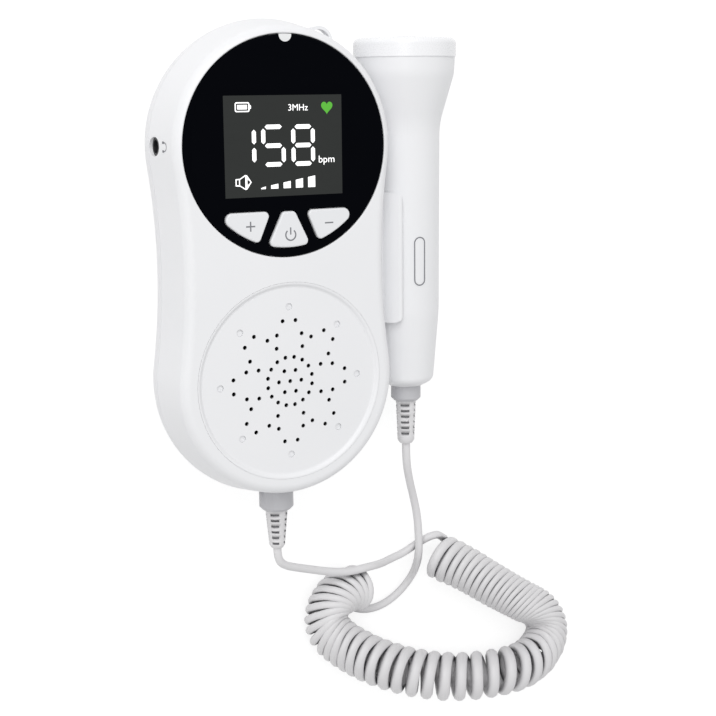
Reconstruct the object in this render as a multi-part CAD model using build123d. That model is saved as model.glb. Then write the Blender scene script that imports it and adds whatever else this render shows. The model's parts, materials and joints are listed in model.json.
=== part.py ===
from build123d import *

import math
import os

# Handheld fetal doppler: a figure-of-eight housing with a round black lens and three keys at
# one end and a pierced speaker dish at the other, a probe held in a cradle on its right flank,
# and a curly lead from the housing to the probe.  Millimetres, +Z up out of the front face,
# +Y towards the display end.  The origin is on the flat back, behind the middle of the lens.

# ---------------------------------------------------------------- housing
CENTRE_PITCH = 65.15     # middle of the lens to middle of the speaker
LENS_RIM = 4.6           # widest outline of both ends outside the lens, at the parting plane
WAIST_INSET = 2.4        # how much slimmer each side is at the waist
DEPTH = 30.3             # back to front face
PARTING_Z = 16.5         # where front and rear shells meet
DRAFT = 10.0             # degrees that the flanks of the front shell lean in
WALL = 2.0
BACK_LAND = 0.5          # straight band between the parting plane and the pillowed back
FRONT_EDGE_R = 3.0
LIP_HEIGHT = 1.2         # tongue of the rear shell inside the front one
LIP_THICK = 0.9
SEAM_HEIGHT = 0.1        # each shell's share of the shadow gap between them
SEAM_DEPTH = 0.2
FIT_GAP = 0.1            # fixed pieces that slot together
MOVE_GAP = 0.3           # faces that move past each other
PRESS_GAP = 0.05         # faces that just seat

# ---------------------------------------------------------------- lens, display, keys
LENS_R = 30.0
LENS_THICK = 1.6
LENS_GAP = 0.15
LENS_EDGE = 0.2          # chamfer round the lens
LENS_SEAT_EDGE = 0.35    # rounded edge of the housing round the lens
SCREEN_SIDE_GAP = 11.9   # sides of the screen inside the widest part of the lens
SCREEN_TOP_GAP = 14.9    # top of the screen below the top of the lens
SCREEN_KEY_GAP = 3.2     # foot of the screen above the side keys
SCREEN_THICK = 1.9
FRAME_SIDE, FRAME_END, FRAME_THICK = 3.9, 1.6, 2.4
PIPE_R = 1.85            # status light, a half-round bite in the lens edge
PIPE_INSET = 0.25        # its middle inside the lens edge
PIPE_LEG_R = 1.0
PIPE_LEG_INSET = 1.05
KEY_RIM_GAP = 2.6        # outer edge of the keys, concentric with the lens, inside its edge
KEY_HEIGHT = 10.1        # straight upper edge of the side keys above the foot of that circle
KEY_INNER_X = 5.3        # inner edge of a side key at its top
KEY_INNER_SLOPE = 0.43   # and how it runs outwards as it goes down
POWER_TOP_HALF = 1.85    # half width of the middle key at its top
POWER_SLOPE = 0.49
POWER_DROP = 0.2         # top of the middle key below the side keys' edge
KEY_CORNER_R = 1.3
KEY_OUTER_CORNER_R = 1.9
KEY_PROUD = 0.7          # key above the lens
KEY_GAP = 0.3
KEY_FLANGE = 1.0         # flange that keeps a key in
KEY_FLANGE_THICK = 1.1
KEY_EDGE_R = 0.55
KEY_TRAVEL = 0.6
KEY_STEM_R = 1.6

# ---------------------------------------------------------------- board and what is on it
BOARD_DROP = 10.0        # top of the board below the wall behind the lens
BOARD_THICK = 1.6
BOARD_EDGE_GAP = 0.8
BOARD_BAY_GAP = 1.3      # edge of the board above the battery bay
POST_R = 2.0
POST_INSET = 3.5         # lower posts from the edge of the board
POST_HALF = 19.0         # and from the middle
UPPER_POSTS = [(23.0, -6.0), (-23.0, -10.0)]
SWITCH_SIZE, SWITCH_H = 6.0, 1.6
SWITCH_PIN_R, SWITCH_PIN_H = 1.7, 0.6
LED_L, LED_W, LED_H = 2.0, 1.25, 0.8
JACK_Y = 0.6
JACK_RISE = 2.7          # axis of the socket above the board
JACK_BORE_R = 1.8        # takes a 3.5 mm plug
JACK_BARREL_R = 2.5
JACK_BORE_LENGTH = 12.6
JACK_BODY_W, JACK_BODY_LENGTH = 6.2, 11.6
JACK_INSET = 0.5         # barrel end behind the housing's side

# ---------------------------------------------------------------- speaker end
HOLE_R = 0.6
RING_PITCH = 3.455       # radial step between rings of holes
PAIR_HALF_ANGLE = 6.56   # half the angle between the two holes of a pair
DIMPLE_R, DIMPLE_DEPTH = 1.0, 0.5
DIMPLE_RING_R = 21.1
GRILLE_R = 28.0
GRILLE_SEAT = 1.6        # width of the ledge the grille plate rests on
GRILLE_RIM_THICK = 1.6
GRILLE_THICK = 1.8
DISH_DEPTH = 0.8
DISH_R = 26.3            # flat floor of the dish
DISH_RUN = 1.6           # width of its soft edge
SPEAKER_R = 19.4
SPEAKER_RING_GAP = 0.3
SPEAKER_RING_THICK = 1.2
SPEAKER_RING_DEPTH = 4.4
CLOTH_THICK = 0.3
FRAME_RIM_THICK = 0.9
FRAME_RIM_W = 2.6
SPEAKER_FRAME_DEPTH = 4.6
SPEAKER_FRAME_METAL = 0.7
SPEAKER_FRAME_MOUTH_R = 3.0
MAGNET_R = 8.5
MAGNET_CELL_GAP = 0.75   # between the magnet and the cells behind it
MAGNET_EDGE_R = 0.4
CONE_THICK = 0.4
CONE_CAP_R = 6.5
CONE_DROP = 1.9
CONE_SURROUND = 1.5

# ---------------------------------------------------------------- batteries
CELL_R = 7.25
CELL_LENGTH = 49.2
CELL_EDGE_R = 0.5
CELL_NUB_R, CELL_NUB_H = 2.75, 1.3
CELL_PITCH = 15.5
CELL_Z = 10.2
BAY_TAIL_ROOM = 13.25    # lower end of the bay from the tail end of the housing
BAY_SIDE_GAP = 3.4       # between a cell and the side wall
BAY_WALL = 1.2
BAY_DROP = 0.5           # top of the bay walls below the parting plane
PLATE_THICK = 0.5
PLATE_SIZE = 9.0
LEAF_SPAN = 1.5
LEAF_THICK = 0.3
LEAF_W = 6.0
RIB_THICK = 1.4
RIB_INSET = 10.0
RIB_LOW_Z, RIB_TOP_Z = 5.0, 14.0
DOOR_HALF = 16.0
DOOR_OVER = 1.0          # upper edge of the door beyond the bay
DOOR_HEIGHT = 12.5       # how far the door climbs the tail end
TONGUE_W, TONGUE_THICK = 1.5, 1.0
TONGUE_DOWN, TONGUE_L = 5.0, 24.0    # tongue from the upper edge of the door, and its length
TONGUE_LIFT = 0.25       # tongue above the inner face of the back wall
GRIP_COUNT, GRIP_PITCH, GRIP_W, GRIP_L = 5, 2.4, 1.0, 14.0
GRIP_DOWN = 10.0         # first groove of the grip from the upper edge of the door
GRIP_DEPTH = 0.5

# ---------------------------------------------------------------- screws
SCREW_R = 1.2
SCREW_HEAD_R, SCREW_HEAD_H = 2.4, 1.6
SCREW_SLOT_L, SCREW_SLOT_W = 2.6, 0.6
SCREW_LENGTH = 12.0
SCREW_SEAT_Z = 8.6
BOSS_R, TOWER_R = 2.8, 3.5
HEAD_SCREW_X = 14.5
HEAD_SCREW_DROP = 7.0    # below the top of the lens
TAIL_SCREW_R = 28.5      # from the middle of the speaker
TAIL_SCREW_ANGLE = -33.0

# ---------------------------------------------------------------- probe and its cradle
PROBE_Z = 15.2
PROBE_SIDE_GAP = 3.1     # between the waist of the housing and the handle
HANDLE_R = 10.0
HANDLE_SWELL = 0.2       # handle thicker at the neck than at the taper
HEAD_R = 15.0
HEAD_TOP_Y = 29.6
CAP_LOW_Y = 24.2
CAP_STEP = 0.3           # ring proud of the body
SHOULDER_Y, SHOULDER_R = 19.4, 14.5
NECK_Y = 4.8
TAPER_Y = -50.5
HEEL_Y, HEEL_R = -71.4, 8.3
HANDLE_END_Y = -73.2
HANDLE_END_R = 5.2
HEEL_ROUND, TAPER_ROUND, NECK_ROUND, SHOULDER_ROUND = 2.5, 58.0, 24.0, 12.0
PROBE_WALL = 1.8
CAP_EDGE_R = 1.8
CAP_SPIGOT = 4.0
CAP_SPIGOT_TAPER = 0.6
CAP_SEAT_W = 1.2
FACE_R = 12.6
FACE_THICK = 2.0
FACE_DOME_R, FACE_DOME_H = 8.2, 0.5
CRYSTAL_R, CRYSTAL_THICK, CRYSTAL_GAP = 9.7, 1.5, 1.0
PROBE_BOARD_L, PROBE_BOARD_THICK, PROBE_BOARD_Y = 30.0, 1.2, -8.0
CRADLE_GAP = 0.35
CRADLE_THICK = 1.75
CRADLE_TOP_Y, CRADLE_LOW_Y = -14.4, -52.6
CRADLE_FRONT_ANGLE = 127.5
CRADLE_REAR_ANGLE = -20.0
CRADLE_CORNER_R = 3.5
CRADLE_WEB_LOW, CRADLE_WEB_TOP = 7.0, 21.0
EYELET_ANGLE = 61.0
EYELET_R, EYELET_HOLE_R, EYELET_THICK = 4.1, 3.2, 2.6
EYELET_SINK = 2.0        # middle of its round inside the housing's outline, so that it is a low bow

# ---------------------------------------------------------------- lead
CORD_R = 1.25
COIL_R = 7.3
COIL_Z = 7.35
COLLAR_CHAMFER = 0.9
BOOT_ROOT = 3.0          # boot inside its collar
BOOT_TIP = 0.9
BOOT_TIP_IN = 0.6
BOOT_SLOT_ROWS, BOOT_SLOT_PITCH, BOOT_SLOT_START = 6, 1.77, 1.3
BOOT_SLOT_H, BOOT_SLOT_W, BOOT_SLOT_DEPTH = 0.6, 2.7, 0.8
BOOT_SLOT_PHASE = 35.0
UNIT_CORD_Z = 18.2
UNIT_COLLAR_R, UNIT_COLLAR_LENGTH, UNIT_COLLAR_SINK = 5.0, 5.3, 1.7
UNIT_BOOT_R, UNIT_BOOT_END_R, UNIT_BOOT_LENGTH = 3.3, 2.3, 11.85
PROBE_COLLAR_R, PROBE_COLLAR_LENGTH = 4.5, 4.9
PROBE_BOOT_R, PROBE_BOOT_END_R, PROBE_BOOT_LENGTH = 3.05, 2.55, 13.4
GLAND_NECK_R, GLAND_FLANGE_R, GLAND_FLANGE_THICK = 3.6, 4.2, 1.2

# Free lead, as it lies on the table: centreline points of the two tails and of the coiled part.
# The first points of a tail go with the boot that it leaves, as (x, length out of the boot, z)
# for the housing and as length out of the boot for the probe.
UNIT_LEAD_OUT = [(0.0, 0.0, UNIT_CORD_Z), (0.0, 3.6, UNIT_CORD_Z), (2.4, 6.3, 17.4), (6.8, 8.1, 16.0)]
PROBE_LEAD_OUT = [0.0, 5.7]
UNIT_TAIL = [
    (12.6, -127.1, 14.4), (19.0, -129.3, 13.0), (26.6, -131.0, 12.2), (34.2, -130.5, 12.0),
    (39.6, -131.4, 8.2), (44.8, -131.5, 4.6), (49.4, -131.0, 2.4), (54.8, -128.9, 3.8),
    (60.07, -125.225, 7.35), (63.2, -126.79, 7.35),
]
PROBE_TAIL = [
    (47.3, -103.6, 13.4), (50.0, -110.0, 11.0),
    (52.0, -116.6, 9.4), (52.5, -122.6, 8.8), (52.6, -129.3, 8.8), (53.6, -134.9, 6.0),
    (53.9, -140.0, 3.0), (50.6, -144.9, 1.4), (44.8, -147.0, 2.4), (39.61, -145.2, 5.3),
    (35.05, -144.59, 5.3),
]
COIL_ROUTE = [
    (60.5, -132.2), (70.5, -137.2), (81.3, -144.0), (92.9, -151.5), (103.5, -159.2),
    (105.0, -168.4), (96.8, -176.6), (81.3, -176.4), (65.8, -173.8), (50.0, -168.6),
    (35.5, -161.6), (22.2, -152.8), (20.8, -144.1), (27.0, -137.8), (35.8, -139.0),
]

# ---------------------------------------------------------------- sizes that follow
END_R = LENS_R + LENS_RIM
WAIST_HALF = END_R - WAIST_INSET
PROBE_X = WAIST_HALF + PROBE_SIDE_GAP + HANDLE_R
LENS_SEAT_Z = DEPTH - LENS_THICK
CEILING_Z = LENS_SEAT_Z - WALL
KEY_RIM_R = LENS_R - KEY_RIM_GAP
KEY_TOP_Y = KEY_HEIGHT - KEY_RIM_R
POWER_TOP_Y = KEY_TOP_Y - POWER_DROP
SCREEN_TOP_Y = LENS_R - SCREEN_TOP_GAP
SCREEN_LOW_Y = KEY_TOP_Y + SCREEN_KEY_GAP
SCREEN_Y = (SCREEN_TOP_Y + SCREEN_LOW_Y) / 2
SCREEN_W, SCREEN_H = 2 * (LENS_R - SCREEN_SIDE_GAP), SCREEN_TOP_Y - SCREEN_LOW_Y
FRAME_W, FRAME_H = SCREEN_W + 2 * FRAME_SIDE, SCREEN_H + 2 * FRAME_END
PIPE_Y, PIPE_LEG_Y = LENS_R - PIPE_INSET, LENS_R - PIPE_LEG_INSET
BOARD_TOP = CEILING_Z - BOARD_DROP
BOARD_LOW_Z = BOARD_TOP - BOARD_THICK
JACK_Z = BOARD_TOP + JACK_RISE
KEY_FLANGE_TOP = CEILING_Z - FIT_GAP
KEY_FLANGE_LOW = KEY_FLANGE_TOP - KEY_FLANGE_THICK
SWITCH_TOP = BOARD_TOP + SWITCH_H + SWITCH_PIN_H
GRILLE_LOW_Z = DEPTH - DISH_DEPTH - GRILLE_THICK
SPEAKER_TOP = GRILLE_LOW_Z - CLOTH_THICK
MAGNET_TOP = SPEAKER_TOP - SPEAKER_FRAME_DEPTH
MAGNET_LOW = CELL_Z + CELL_R + MAGNET_CELL_GAP
TAIL_END_Y = -(CENTRE_PITCH + END_R)
BAY_HALF = CELL_PITCH / 2 + CELL_R + BAY_SIDE_GAP
BAY_LENGTH = PLATE_THICK + CELL_NUB_H + CELL_LENGTH + LEAF_SPAN
BAY_LOW_Y = TAIL_END_Y + BAY_TAIL_ROOM
BAY_TOP_Y = BAY_LOW_Y + BAY_LENGTH
BAY_TOP_Z = PARTING_Z - BAY_DROP
BOARD_LOW_Y = BAY_TOP_Y + BAY_WALL + BOARD_BAY_GAP
BOARD_POSTS = UPPER_POSTS + [(side * POST_HALF, BOARD_LOW_Y + POST_INSET) for side in (1, -1)]
DOOR_TOP_Y = BAY_TOP_Y + DOOR_OVER
UNIT_CORD_Y = TAIL_END_Y - UNIT_COLLAR_LENGTH - UNIT_BOOT_LENGTH
PROBE_CORD_Y = HANDLE_END_Y - PROBE_COLLAR_LENGTH - PROBE_BOOT_LENGTH
TAIL_SCREWS = [
    (side * TAIL_SCREW_R * math.cos(math.radians(TAIL_SCREW_ANGLE)),
     -CENTRE_PITCH + TAIL_SCREW_R * math.sin(math.radians(TAIL_SCREW_ANGLE)))
    for side in (1, -1)
]
HEAD_SCREW_Y = LENS_R - HEAD_SCREW_DROP
SCREWS = [(HEAD_SCREW_X, HEAD_SCREW_Y), (-HEAD_SCREW_X, HEAD_SCREW_Y)] + TAIL_SCREWS
SPEAKER = Pos(0, -CENTRE_PITCH, 0)


# ---------------------------------------------------------------- helpers
def along_y(x, z):
    """Frame whose Z runs along world -Y, at the given x and z, so that a turned part's height is -y."""
    return Plane(origin=(x, 0, z), x_dir=(1, 0, 0), z_dir=(0, -1, 0))


def along_x(y, z):
    """Frame whose Z runs along world +X."""
    return Plane(origin=(0, y, z), x_dir=(0, 1, 0), z_dir=(1, 0, 0))


def turned(points, place, rounds=None):
    """Solid of revolution of an (r, height) outline about the local Z of a frame, corners rounded."""
    profile = make_face(Polyline(*points, close=True))
    for index, radius in (rounds or {}).items():
        corner = profile.vertices().sort_by_distance(Vector(*points[index]))[0]
        profile = fillet(corner, radius)
    return place * revolve(Plane.XZ * profile, Axis.Z)


def upright(outline, low, high):
    return Pos(0, 0, low) * extrude(outline, high - low, dir=(0, 0, 1))


def housing_outline(inset=0.0):
    """Figure-of-eight outline: two end circles joined by hollow waist arcs, all tangent."""
    half = CENTRE_PITCH / 2
    waist_r = (WAIST_HALF**2 + half**2 - END_R**2) / (2 * (END_R - WAIST_HALF))
    centre_x = WAIST_HALF + waist_r
    lean = math.atan2(half, centre_x)
    end_r, hollow_r = END_R - inset, waist_r + inset
    touch_x, touch_y = end_r * math.cos(lean), end_r * math.sin(lean)
    side_x = centre_x - hollow_r
    low = -CENTRE_PITCH
    right = ThreePointArc((touch_x, low + touch_y), (side_x, -half), (touch_x, -touch_y))
    top = ThreePointArc((touch_x, -touch_y), (0, end_r), (-touch_x, -touch_y))
    left = ThreePointArc((-touch_x, -touch_y), (-side_x, -half), (-touch_x, low + touch_y))
    bottom = ThreePointArc((-touch_x, low + touch_y), (0, low - end_r), (touch_x, low + touch_y))
    return make_face([right, top, left, bottom])


def straight_body(low, high, inset=0.0):
    return upright(housing_outline(inset), low, high)


def front_body(inset, top):
    """Front half up to a height, its flanks leaning in above the parting plane."""
    return Pos(0, 0, PARTING_Z) * extrude(housing_outline(inset), top - PARTING_Z, taper=DRAFT)


def rear_body(inset):
    """Rear half with its wall moved in by an inset, pillowed towards the back."""
    block = straight_body(inset, PARTING_Z, inset)
    return fillet(block.edges().group_by(Axis.Z)[0], PARTING_Z - BACK_LAND - inset)


def rounded_front():
    block = front_body(0, DEPTH)
    return fillet(block.edges().group_by(Axis.Z)[-1], FRONT_EDGE_R)


def seam(low, high):
    """Ring that a shell leaves open along its outline, for the shadow gap between the shells."""
    return straight_body(low, high, -WALL) - straight_body(low, high, SEAM_DEPTH)


def flank(z):
    """Distance from an end's middle to the outside of the front shell at a height."""
    return END_R - (z - PARTING_Z) * math.tan(math.radians(DRAFT))


def side_key_outline(grow=0.0):
    """Right-hand key: straight top, slanted inner side, outer side concentric with the lens."""
    top = KEY_TOP_Y
    low = -KEY_RIM_R
    inner_low = KEY_INNER_X + KEY_INNER_SLOPE * (top - low)
    corner = make_face(Polyline(
        (KEY_INNER_X, top), (LENS_R, top), (LENS_R, low), (inner_low, low), close=True))
    shape = corner & Circle(KEY_RIM_R)
    shape = fillet(shape.vertices().sort_by(Axis.X)[-1], KEY_OUTER_CORNER_R)
    sharp = [v for v in shape.vertices() if v.X < inner_low]
    shape = fillet(sharp, KEY_CORNER_R)
    return offset(shape, grow, kind=Kind.ARC) if grow else shape


def power_key_outline(grow=0.0):
    """Middle key: a trapezium whose lower side follows the lens."""
    low = -LENS_R
    low_half = POWER_TOP_HALF + POWER_SLOPE * (POWER_TOP_Y - low)
    body = make_face(Polyline(
        (-POWER_TOP_HALF, POWER_TOP_Y), (POWER_TOP_HALF, POWER_TOP_Y),
        (low_half, low), (-low_half, low), close=True))
    shape = body & Circle(KEY_RIM_R)
    shape = fillet(shape.vertices(), KEY_CORNER_R)
    return offset(shape, grow, kind=Kind.ARC) if grow else shape


def key_outlines(grow=0.0):
    right = side_key_outline(grow)
    return {"minus_key": right, "power_key": power_key_outline(grow), "plus_key": mirror(right, Plane.YZ)}


def key_middles():
    """Where each key's stem stands."""
    side = side_key_outline().center(CenterOf.MASS)
    power = power_key_outline().center(CenterOf.MASS)
    return {"minus_key": (side.X, side.Y), "power_key": (power.X, power.Y), "plus_key": (-side.X, side.Y)}


def ring_angles(count, phase=0.0):
    return [phase + 360.0 * n / count for n in range(count)]


def grille_points():
    """Middle of each sound hole, from the middle of the speaker."""
    rings = [(1, ring_angles(6, 29.7)), (2, ring_angles(16, 11.25)), (3, ring_angles(8, 22.5))]
    for step, phase in ((4, 22.5), (5, 0.0)):
        pairs = [a + s * PAIR_HALF_ANGLE for a in ring_angles(8, phase) for s in (-1, 1)]
        rings.append((step, pairs))
    spots = [(0.0, 0.0)]
    for step, angles in rings:
        radius = step * RING_PITCH
        spots += [(radius * math.sin(math.radians(a)), radius * math.cos(math.radians(a))) for a in angles]
    return spots


# ---------------------------------------------------------------- cradle and eyelet
def cradle_sector(start, stop):
    """Part of the ring that wraps the probe's handle, between two angles from +X towards +Z."""
    inner = HANDLE_R + CRADLE_GAP
    outer = inner + CRADLE_THICK
    middle = inner + CRADLE_THICK / 2

    def spot(radius, angle):
        return (PROBE_X + radius * math.cos(math.radians(angle)),
                PROBE_Z + radius * math.sin(math.radians(angle)))

    half = (start + stop) / 2
    length = CRADLE_TOP_Y - CRADLE_LOW_Y
    plane = Plane(origin=(0, CRADLE_TOP_Y, 0), x_dir=(1, 0, 0), z_dir=(0, -1, 0))
    section = make_face([
        ThreePointArc(spot(inner, start), spot(inner, half), spot(inner, stop)),
        Line(spot(inner, stop), spot(outer, stop)),
        ThreePointArc(spot(outer, stop), spot(outer, half), spot(outer, start)),
        Line(spot(outer, start), spot(inner, start)),
    ])
    tip = extrude(Circle(CRADLE_THICK / 2), length)
    tips = [plane * Pos(*spot(middle, angle), 0) * tip for angle in (start, stop)]
    return extrude(plane * section, length) + tips


def cradle_web(low, high):
    """Root that joins the ring to the housing's flank, hollowed for the handle."""
    root_x = WAIST_HALF - 3 * WALL
    far_x = PROBE_X - HANDLE_R
    length = CRADLE_TOP_Y - CRADLE_LOW_Y
    web = Pos((root_x + far_x) / 2, CRADLE_TOP_Y - length / 2, (low + high) / 2) * Box(
        far_x - root_x, length, high - low)
    handle_room = along_y(PROBE_X, PROBE_Z) * Cylinder(HANDLE_R + CRADLE_GAP, 4 * CENTRE_PITCH)
    return web - handle_room


def cradle_wing(low, high, web_low, web_high, far_x):
    """Cradle between two heights, its free corners rounded as seen from the front."""
    whole = cradle_sector(CRADLE_FRONT_ANGLE, 360 + CRADLE_REAR_ANGLE) + cradle_web(web_low, web_high)
    length = CRADLE_TOP_Y - CRADLE_LOW_Y
    near_x = WAIST_HALF - 4 * WALL
    plan = RectangleRounded(far_x - near_x, length, CRADLE_CORNER_R)
    return whole & (Pos((near_x + far_x) / 2, CRADLE_TOP_Y - length / 2, 0) * upright(plan, low, high))


def front_wing():
    tip = math.radians(CRADLE_FRONT_ANGLE)
    far_x = PROBE_X + (HANDLE_R + CRADLE_GAP) * math.cos(tip) + CRADLE_THICK / 4
    wing = cradle_wing(PARTING_Z, DEPTH, PARTING_Z, CRADLE_WEB_TOP, far_x)
    return wing - front_body(WALL / 2, DEPTH)


def rear_wing():
    reach = math.radians(CRADLE_REAR_ANGLE)
    far_x = PROBE_X + (HANDLE_R + CRADLE_GAP + CRADLE_THICK) * math.cos(reach) + CRADLE_THICK / 4
    wing = cradle_wing(0, PARTING_Z, CRADLE_WEB_LOW, PARTING_Z, far_x)
    return wing - rear_body(WALL / 2)


def strap_eyelet():
    """Low bow for a strap at the display end."""
    angle = math.radians(EYELET_ANGLE)
    reach = END_R - EYELET_SINK
    place = Pos(reach * math.cos(angle), reach * math.sin(angle), 0)
    ring = Circle(EYELET_R) - Circle(EYELET_HOLE_R)
    return place * upright(ring, PARTING_Z, PARTING_Z + EYELET_THICK) - front_body(WALL / 2, DEPTH)


# ---------------------------------------------------------------- shells
def jack_hole():
    return along_x(JACK_Y, JACK_Z) * Pos(0, 0, -END_R) * Cylinder(JACK_BARREL_R + FIT_GAP, 4 * WALL)


def unit_gland_hole():
    return along_y(0, UNIT_CORD_Z) * Pos(0, 0, -TAIL_END_Y) * Cylinder(GLAND_NECK_R + FIT_GAP, 6 * WALL)


def front_shell():
    shell = rounded_front()
    shell -= front_body(WALL, CEILING_Z)
    shell -= jack_hole()
    shell -= unit_gland_hole()
    shell -= seam(PARTING_Z, PARTING_Z + SEAM_HEIGHT)
    shell += front_wing()
    shell += strap_eyelet()
    shell -= straight_body(PARTING_Z, PARTING_Z + LIP_HEIGHT + FIT_GAP, WALL - LIP_THICK - FIT_GAP)
    for x, y in SCREWS:
        shell += Pos(x, y, 0) * upright(Circle(BOSS_R), PARTING_Z + FIT_GAP, CEILING_Z + WALL / 2)
    for x, y in SCREWS:
        shell -= Pos(x, y, 0) * upright(Circle(SCREW_R), PARTING_Z, SCREW_SEAT_Z + SCREW_LENGTH + WALL / 2)
    seat_r = LENS_R + LENS_GAP
    shell -= upright(Circle(seat_r), LENS_SEAT_Z, DEPTH)
    rim = [edge for edge in shell.edges().filter_by(GeomType.CIRCLE)
           if abs(edge.radius - seat_r) < FIT_GAP and edge.center().Z > DEPTH - FIT_GAP]
    shell = fillet(rim, LENS_SEAT_EDGE)
    window = Rectangle(SCREEN_W + 2 * FIT_GAP, SCREEN_H + 2 * FIT_GAP)
    shell -= Pos(0, SCREEN_Y, 0) * upright(window, CEILING_Z, LENS_SEAT_Z)
    for outline in key_outlines(KEY_GAP).values():
        shell -= upright(outline, CEILING_Z, LENS_SEAT_Z)
    shell -= Pos(0, PIPE_LEG_Y, 0) * upright(Circle(PIPE_LEG_R + FIT_GAP), CEILING_Z, LENS_SEAT_Z)
    shell -= SPEAKER * upright(Circle(GRILLE_R + PRESS_GAP), DEPTH - GRILLE_RIM_THICK, DEPTH)
    shell -= SPEAKER * upright(Circle(GRILLE_R - GRILLE_SEAT + PRESS_GAP), CEILING_Z, DEPTH)
    return shell


def bay_box(half, low_y, high_y, low_z, high_z):
    box = Box(2 * half, high_y - low_y, high_z - low_z)
    return Pos(0, (low_y + high_y) / 2, (low_z + high_z) / 2) * box


def battery_bay():
    """Walls that hold the two cells, with ribs between cell and side wall."""
    outer = bay_box(BAY_HALF + BAY_WALL, BAY_LOW_Y - BAY_WALL, BAY_TOP_Y + BAY_WALL, 0, BAY_TOP_Z)
    bay = outer - bay_box(BAY_HALF, BAY_LOW_Y, BAY_TOP_Y, 0, DEPTH)
    rib_near = CELL_PITCH / 2 + CELL_R / 2
    rib_far = BAY_HALF + BAY_WALL / 2
    rib = Box(rib_far - rib_near, RIB_THICK, RIB_TOP_Z - RIB_LOW_Z)
    for side in (1, -1):
        for y in (BAY_TOP_Y - RIB_INSET, BAY_LOW_Y + RIB_INSET):
            bay += Pos(side * (rib_near + rib_far) / 2, y, (RIB_LOW_Z + RIB_TOP_Z) / 2) * rib
    for side in (1, -1):
        cell_room = along_y(side * CELL_PITCH / 2, CELL_Z) * Cylinder(CELL_R + FIT_GAP, 4 * CENTRE_PITCH)
        bay -= cell_room & bay_box(BAY_HALF, BAY_LOW_Y, BAY_TOP_Y, 0, DEPTH)
    door_top = WALL + TONGUE_LIFT + TONGUE_THICK + MOVE_GAP
    bay -= bay_box(BAY_HALF, BAY_LOW_Y - 2 * BAY_WALL, BAY_TOP_Y + 2 * BAY_WALL, 0, door_top)
    near_door = bay_box(DOOR_HALF + 2 * MOVE_GAP, TAIL_END_Y, 0, 0, PARTING_Z)
    return ((bay & near_door) & rear_body(WALL + MOVE_GAP)) + ((bay - near_door) & rear_body(WALL / 2))


def rear_shell():
    shell = rear_body(0) - rear_body(WALL)
    lip = straight_body(PARTING_Z - WALL, PARTING_Z + LIP_HEIGHT, WALL - LIP_THICK)
    shell += lip - straight_body(PARTING_Z - WALL, PARTING_Z + LIP_HEIGHT, WALL)
    shell -= jack_hole()
    shell -= unit_gland_hole()
    shell -= seam(PARTING_Z - SEAM_HEIGHT, PARTING_Z)
    shell += rear_wing()
    inside = rear_body(WALL / 2)
    for x, y in SCREWS:
        shell += Pos(x, y, 0) * upright(Circle(TOWER_R), 0, PARTING_Z) & inside
    for x, y in BOARD_POSTS:
        shell += Pos(x, y, 0) * upright(Circle(POST_R), 0, BOARD_LOW_Z) & inside
    shell += battery_bay()
    for x, y in SCREWS:
        shell -= Pos(x, y, 0) * upright(Circle(SCREW_R + FIT_GAP), 0, PARTING_Z)
        shell -= Pos(x, y, 0) * upright(Circle(SCREW_HEAD_R + FIT_GAP), 0, SCREW_SEAT_Z)
    shell -= door_room()
    return shell


# ---------------------------------------------------------------- battery door
def door_block(gap):
    """Space of the door in the rear shell's wall, grown by a gap."""
    return bay_box(DOOR_HALF + gap, TAIL_END_Y - WALL, DOOR_TOP_Y + gap, -WALL, DOOR_HEIGHT + gap)


def back_wall():
    return rear_body(0) - rear_body(WALL)


def door_room():
    return back_wall() & door_block(MOVE_GAP)


def battery_door():
    """Sliding door: a patch of the back wall with a tongue along each side."""
    door = back_wall() & door_block(0)
    middle = DOOR_TOP_Y - TONGUE_DOWN - TONGUE_L / 2
    low = WALL + TONGUE_LIFT
    for side in (1, -1):
        tongue = Pos(side * DOOR_HALF, middle, low + TONGUE_THICK / 2) * Box(
            2 * TONGUE_W, TONGUE_L, TONGUE_THICK)
        root = Pos(side * (DOOR_HALF - TONGUE_W / 2), middle, low) * Box(TONGUE_W, TONGUE_L, TONGUE_THICK)
        door += tongue + root
    for n in range(GRIP_COUNT):
        y = DOOR_TOP_Y - GRIP_DOWN - n * GRIP_PITCH
        door -= Pos(0, y, GRIP_DEPTH / 2) * Box(GRIP_L, GRIP_W, GRIP_DEPTH)
    return door


# ---------------------------------------------------------------- lens, display, keys
def indicator_light_pipe():
    head = Pos(0, PIPE_Y, 0) * upright(Circle(PIPE_R), LENS_SEAT_Z, DEPTH)
    head &= upright(Circle(LENS_R), LENS_SEAT_Z, DEPTH)
    leg = Pos(0, PIPE_LEG_Y, 0) * upright(Circle(PIPE_LEG_R), BOARD_TOP + LED_H + MOVE_GAP, LENS_SEAT_Z)
    return head + leg


def lens_panel():
    lens = upright(Circle(LENS_R), LENS_SEAT_Z, DEPTH)
    lens = chamfer(lens.edges().group_by(Axis.Z)[-1], LENS_EDGE)
    for outline in key_outlines(KEY_GAP).values():
        lens -= upright(outline, LENS_SEAT_Z, DEPTH)
    lens -= Pos(0, PIPE_Y, 0) * upright(Circle(PIPE_R + PRESS_GAP), LENS_SEAT_Z, DEPTH)
    return lens


def display_screen():
    screen = Pos(0, SCREEN_Y, CEILING_Z + SCREEN_THICK / 2) * Box(SCREEN_W, SCREEN_H, SCREEN_THICK)
    return chamfer(screen.edges().group_by(Axis.Z)[-1], LENS_EDGE)


def display_frame():
    frame = Pos(0, SCREEN_Y, CEILING_Z - FRAME_THICK / 2) * Box(FRAME_W, FRAME_H, FRAME_THICK)
    return fillet(frame.edges().filter_by(Axis.Z), 1.0)


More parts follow.
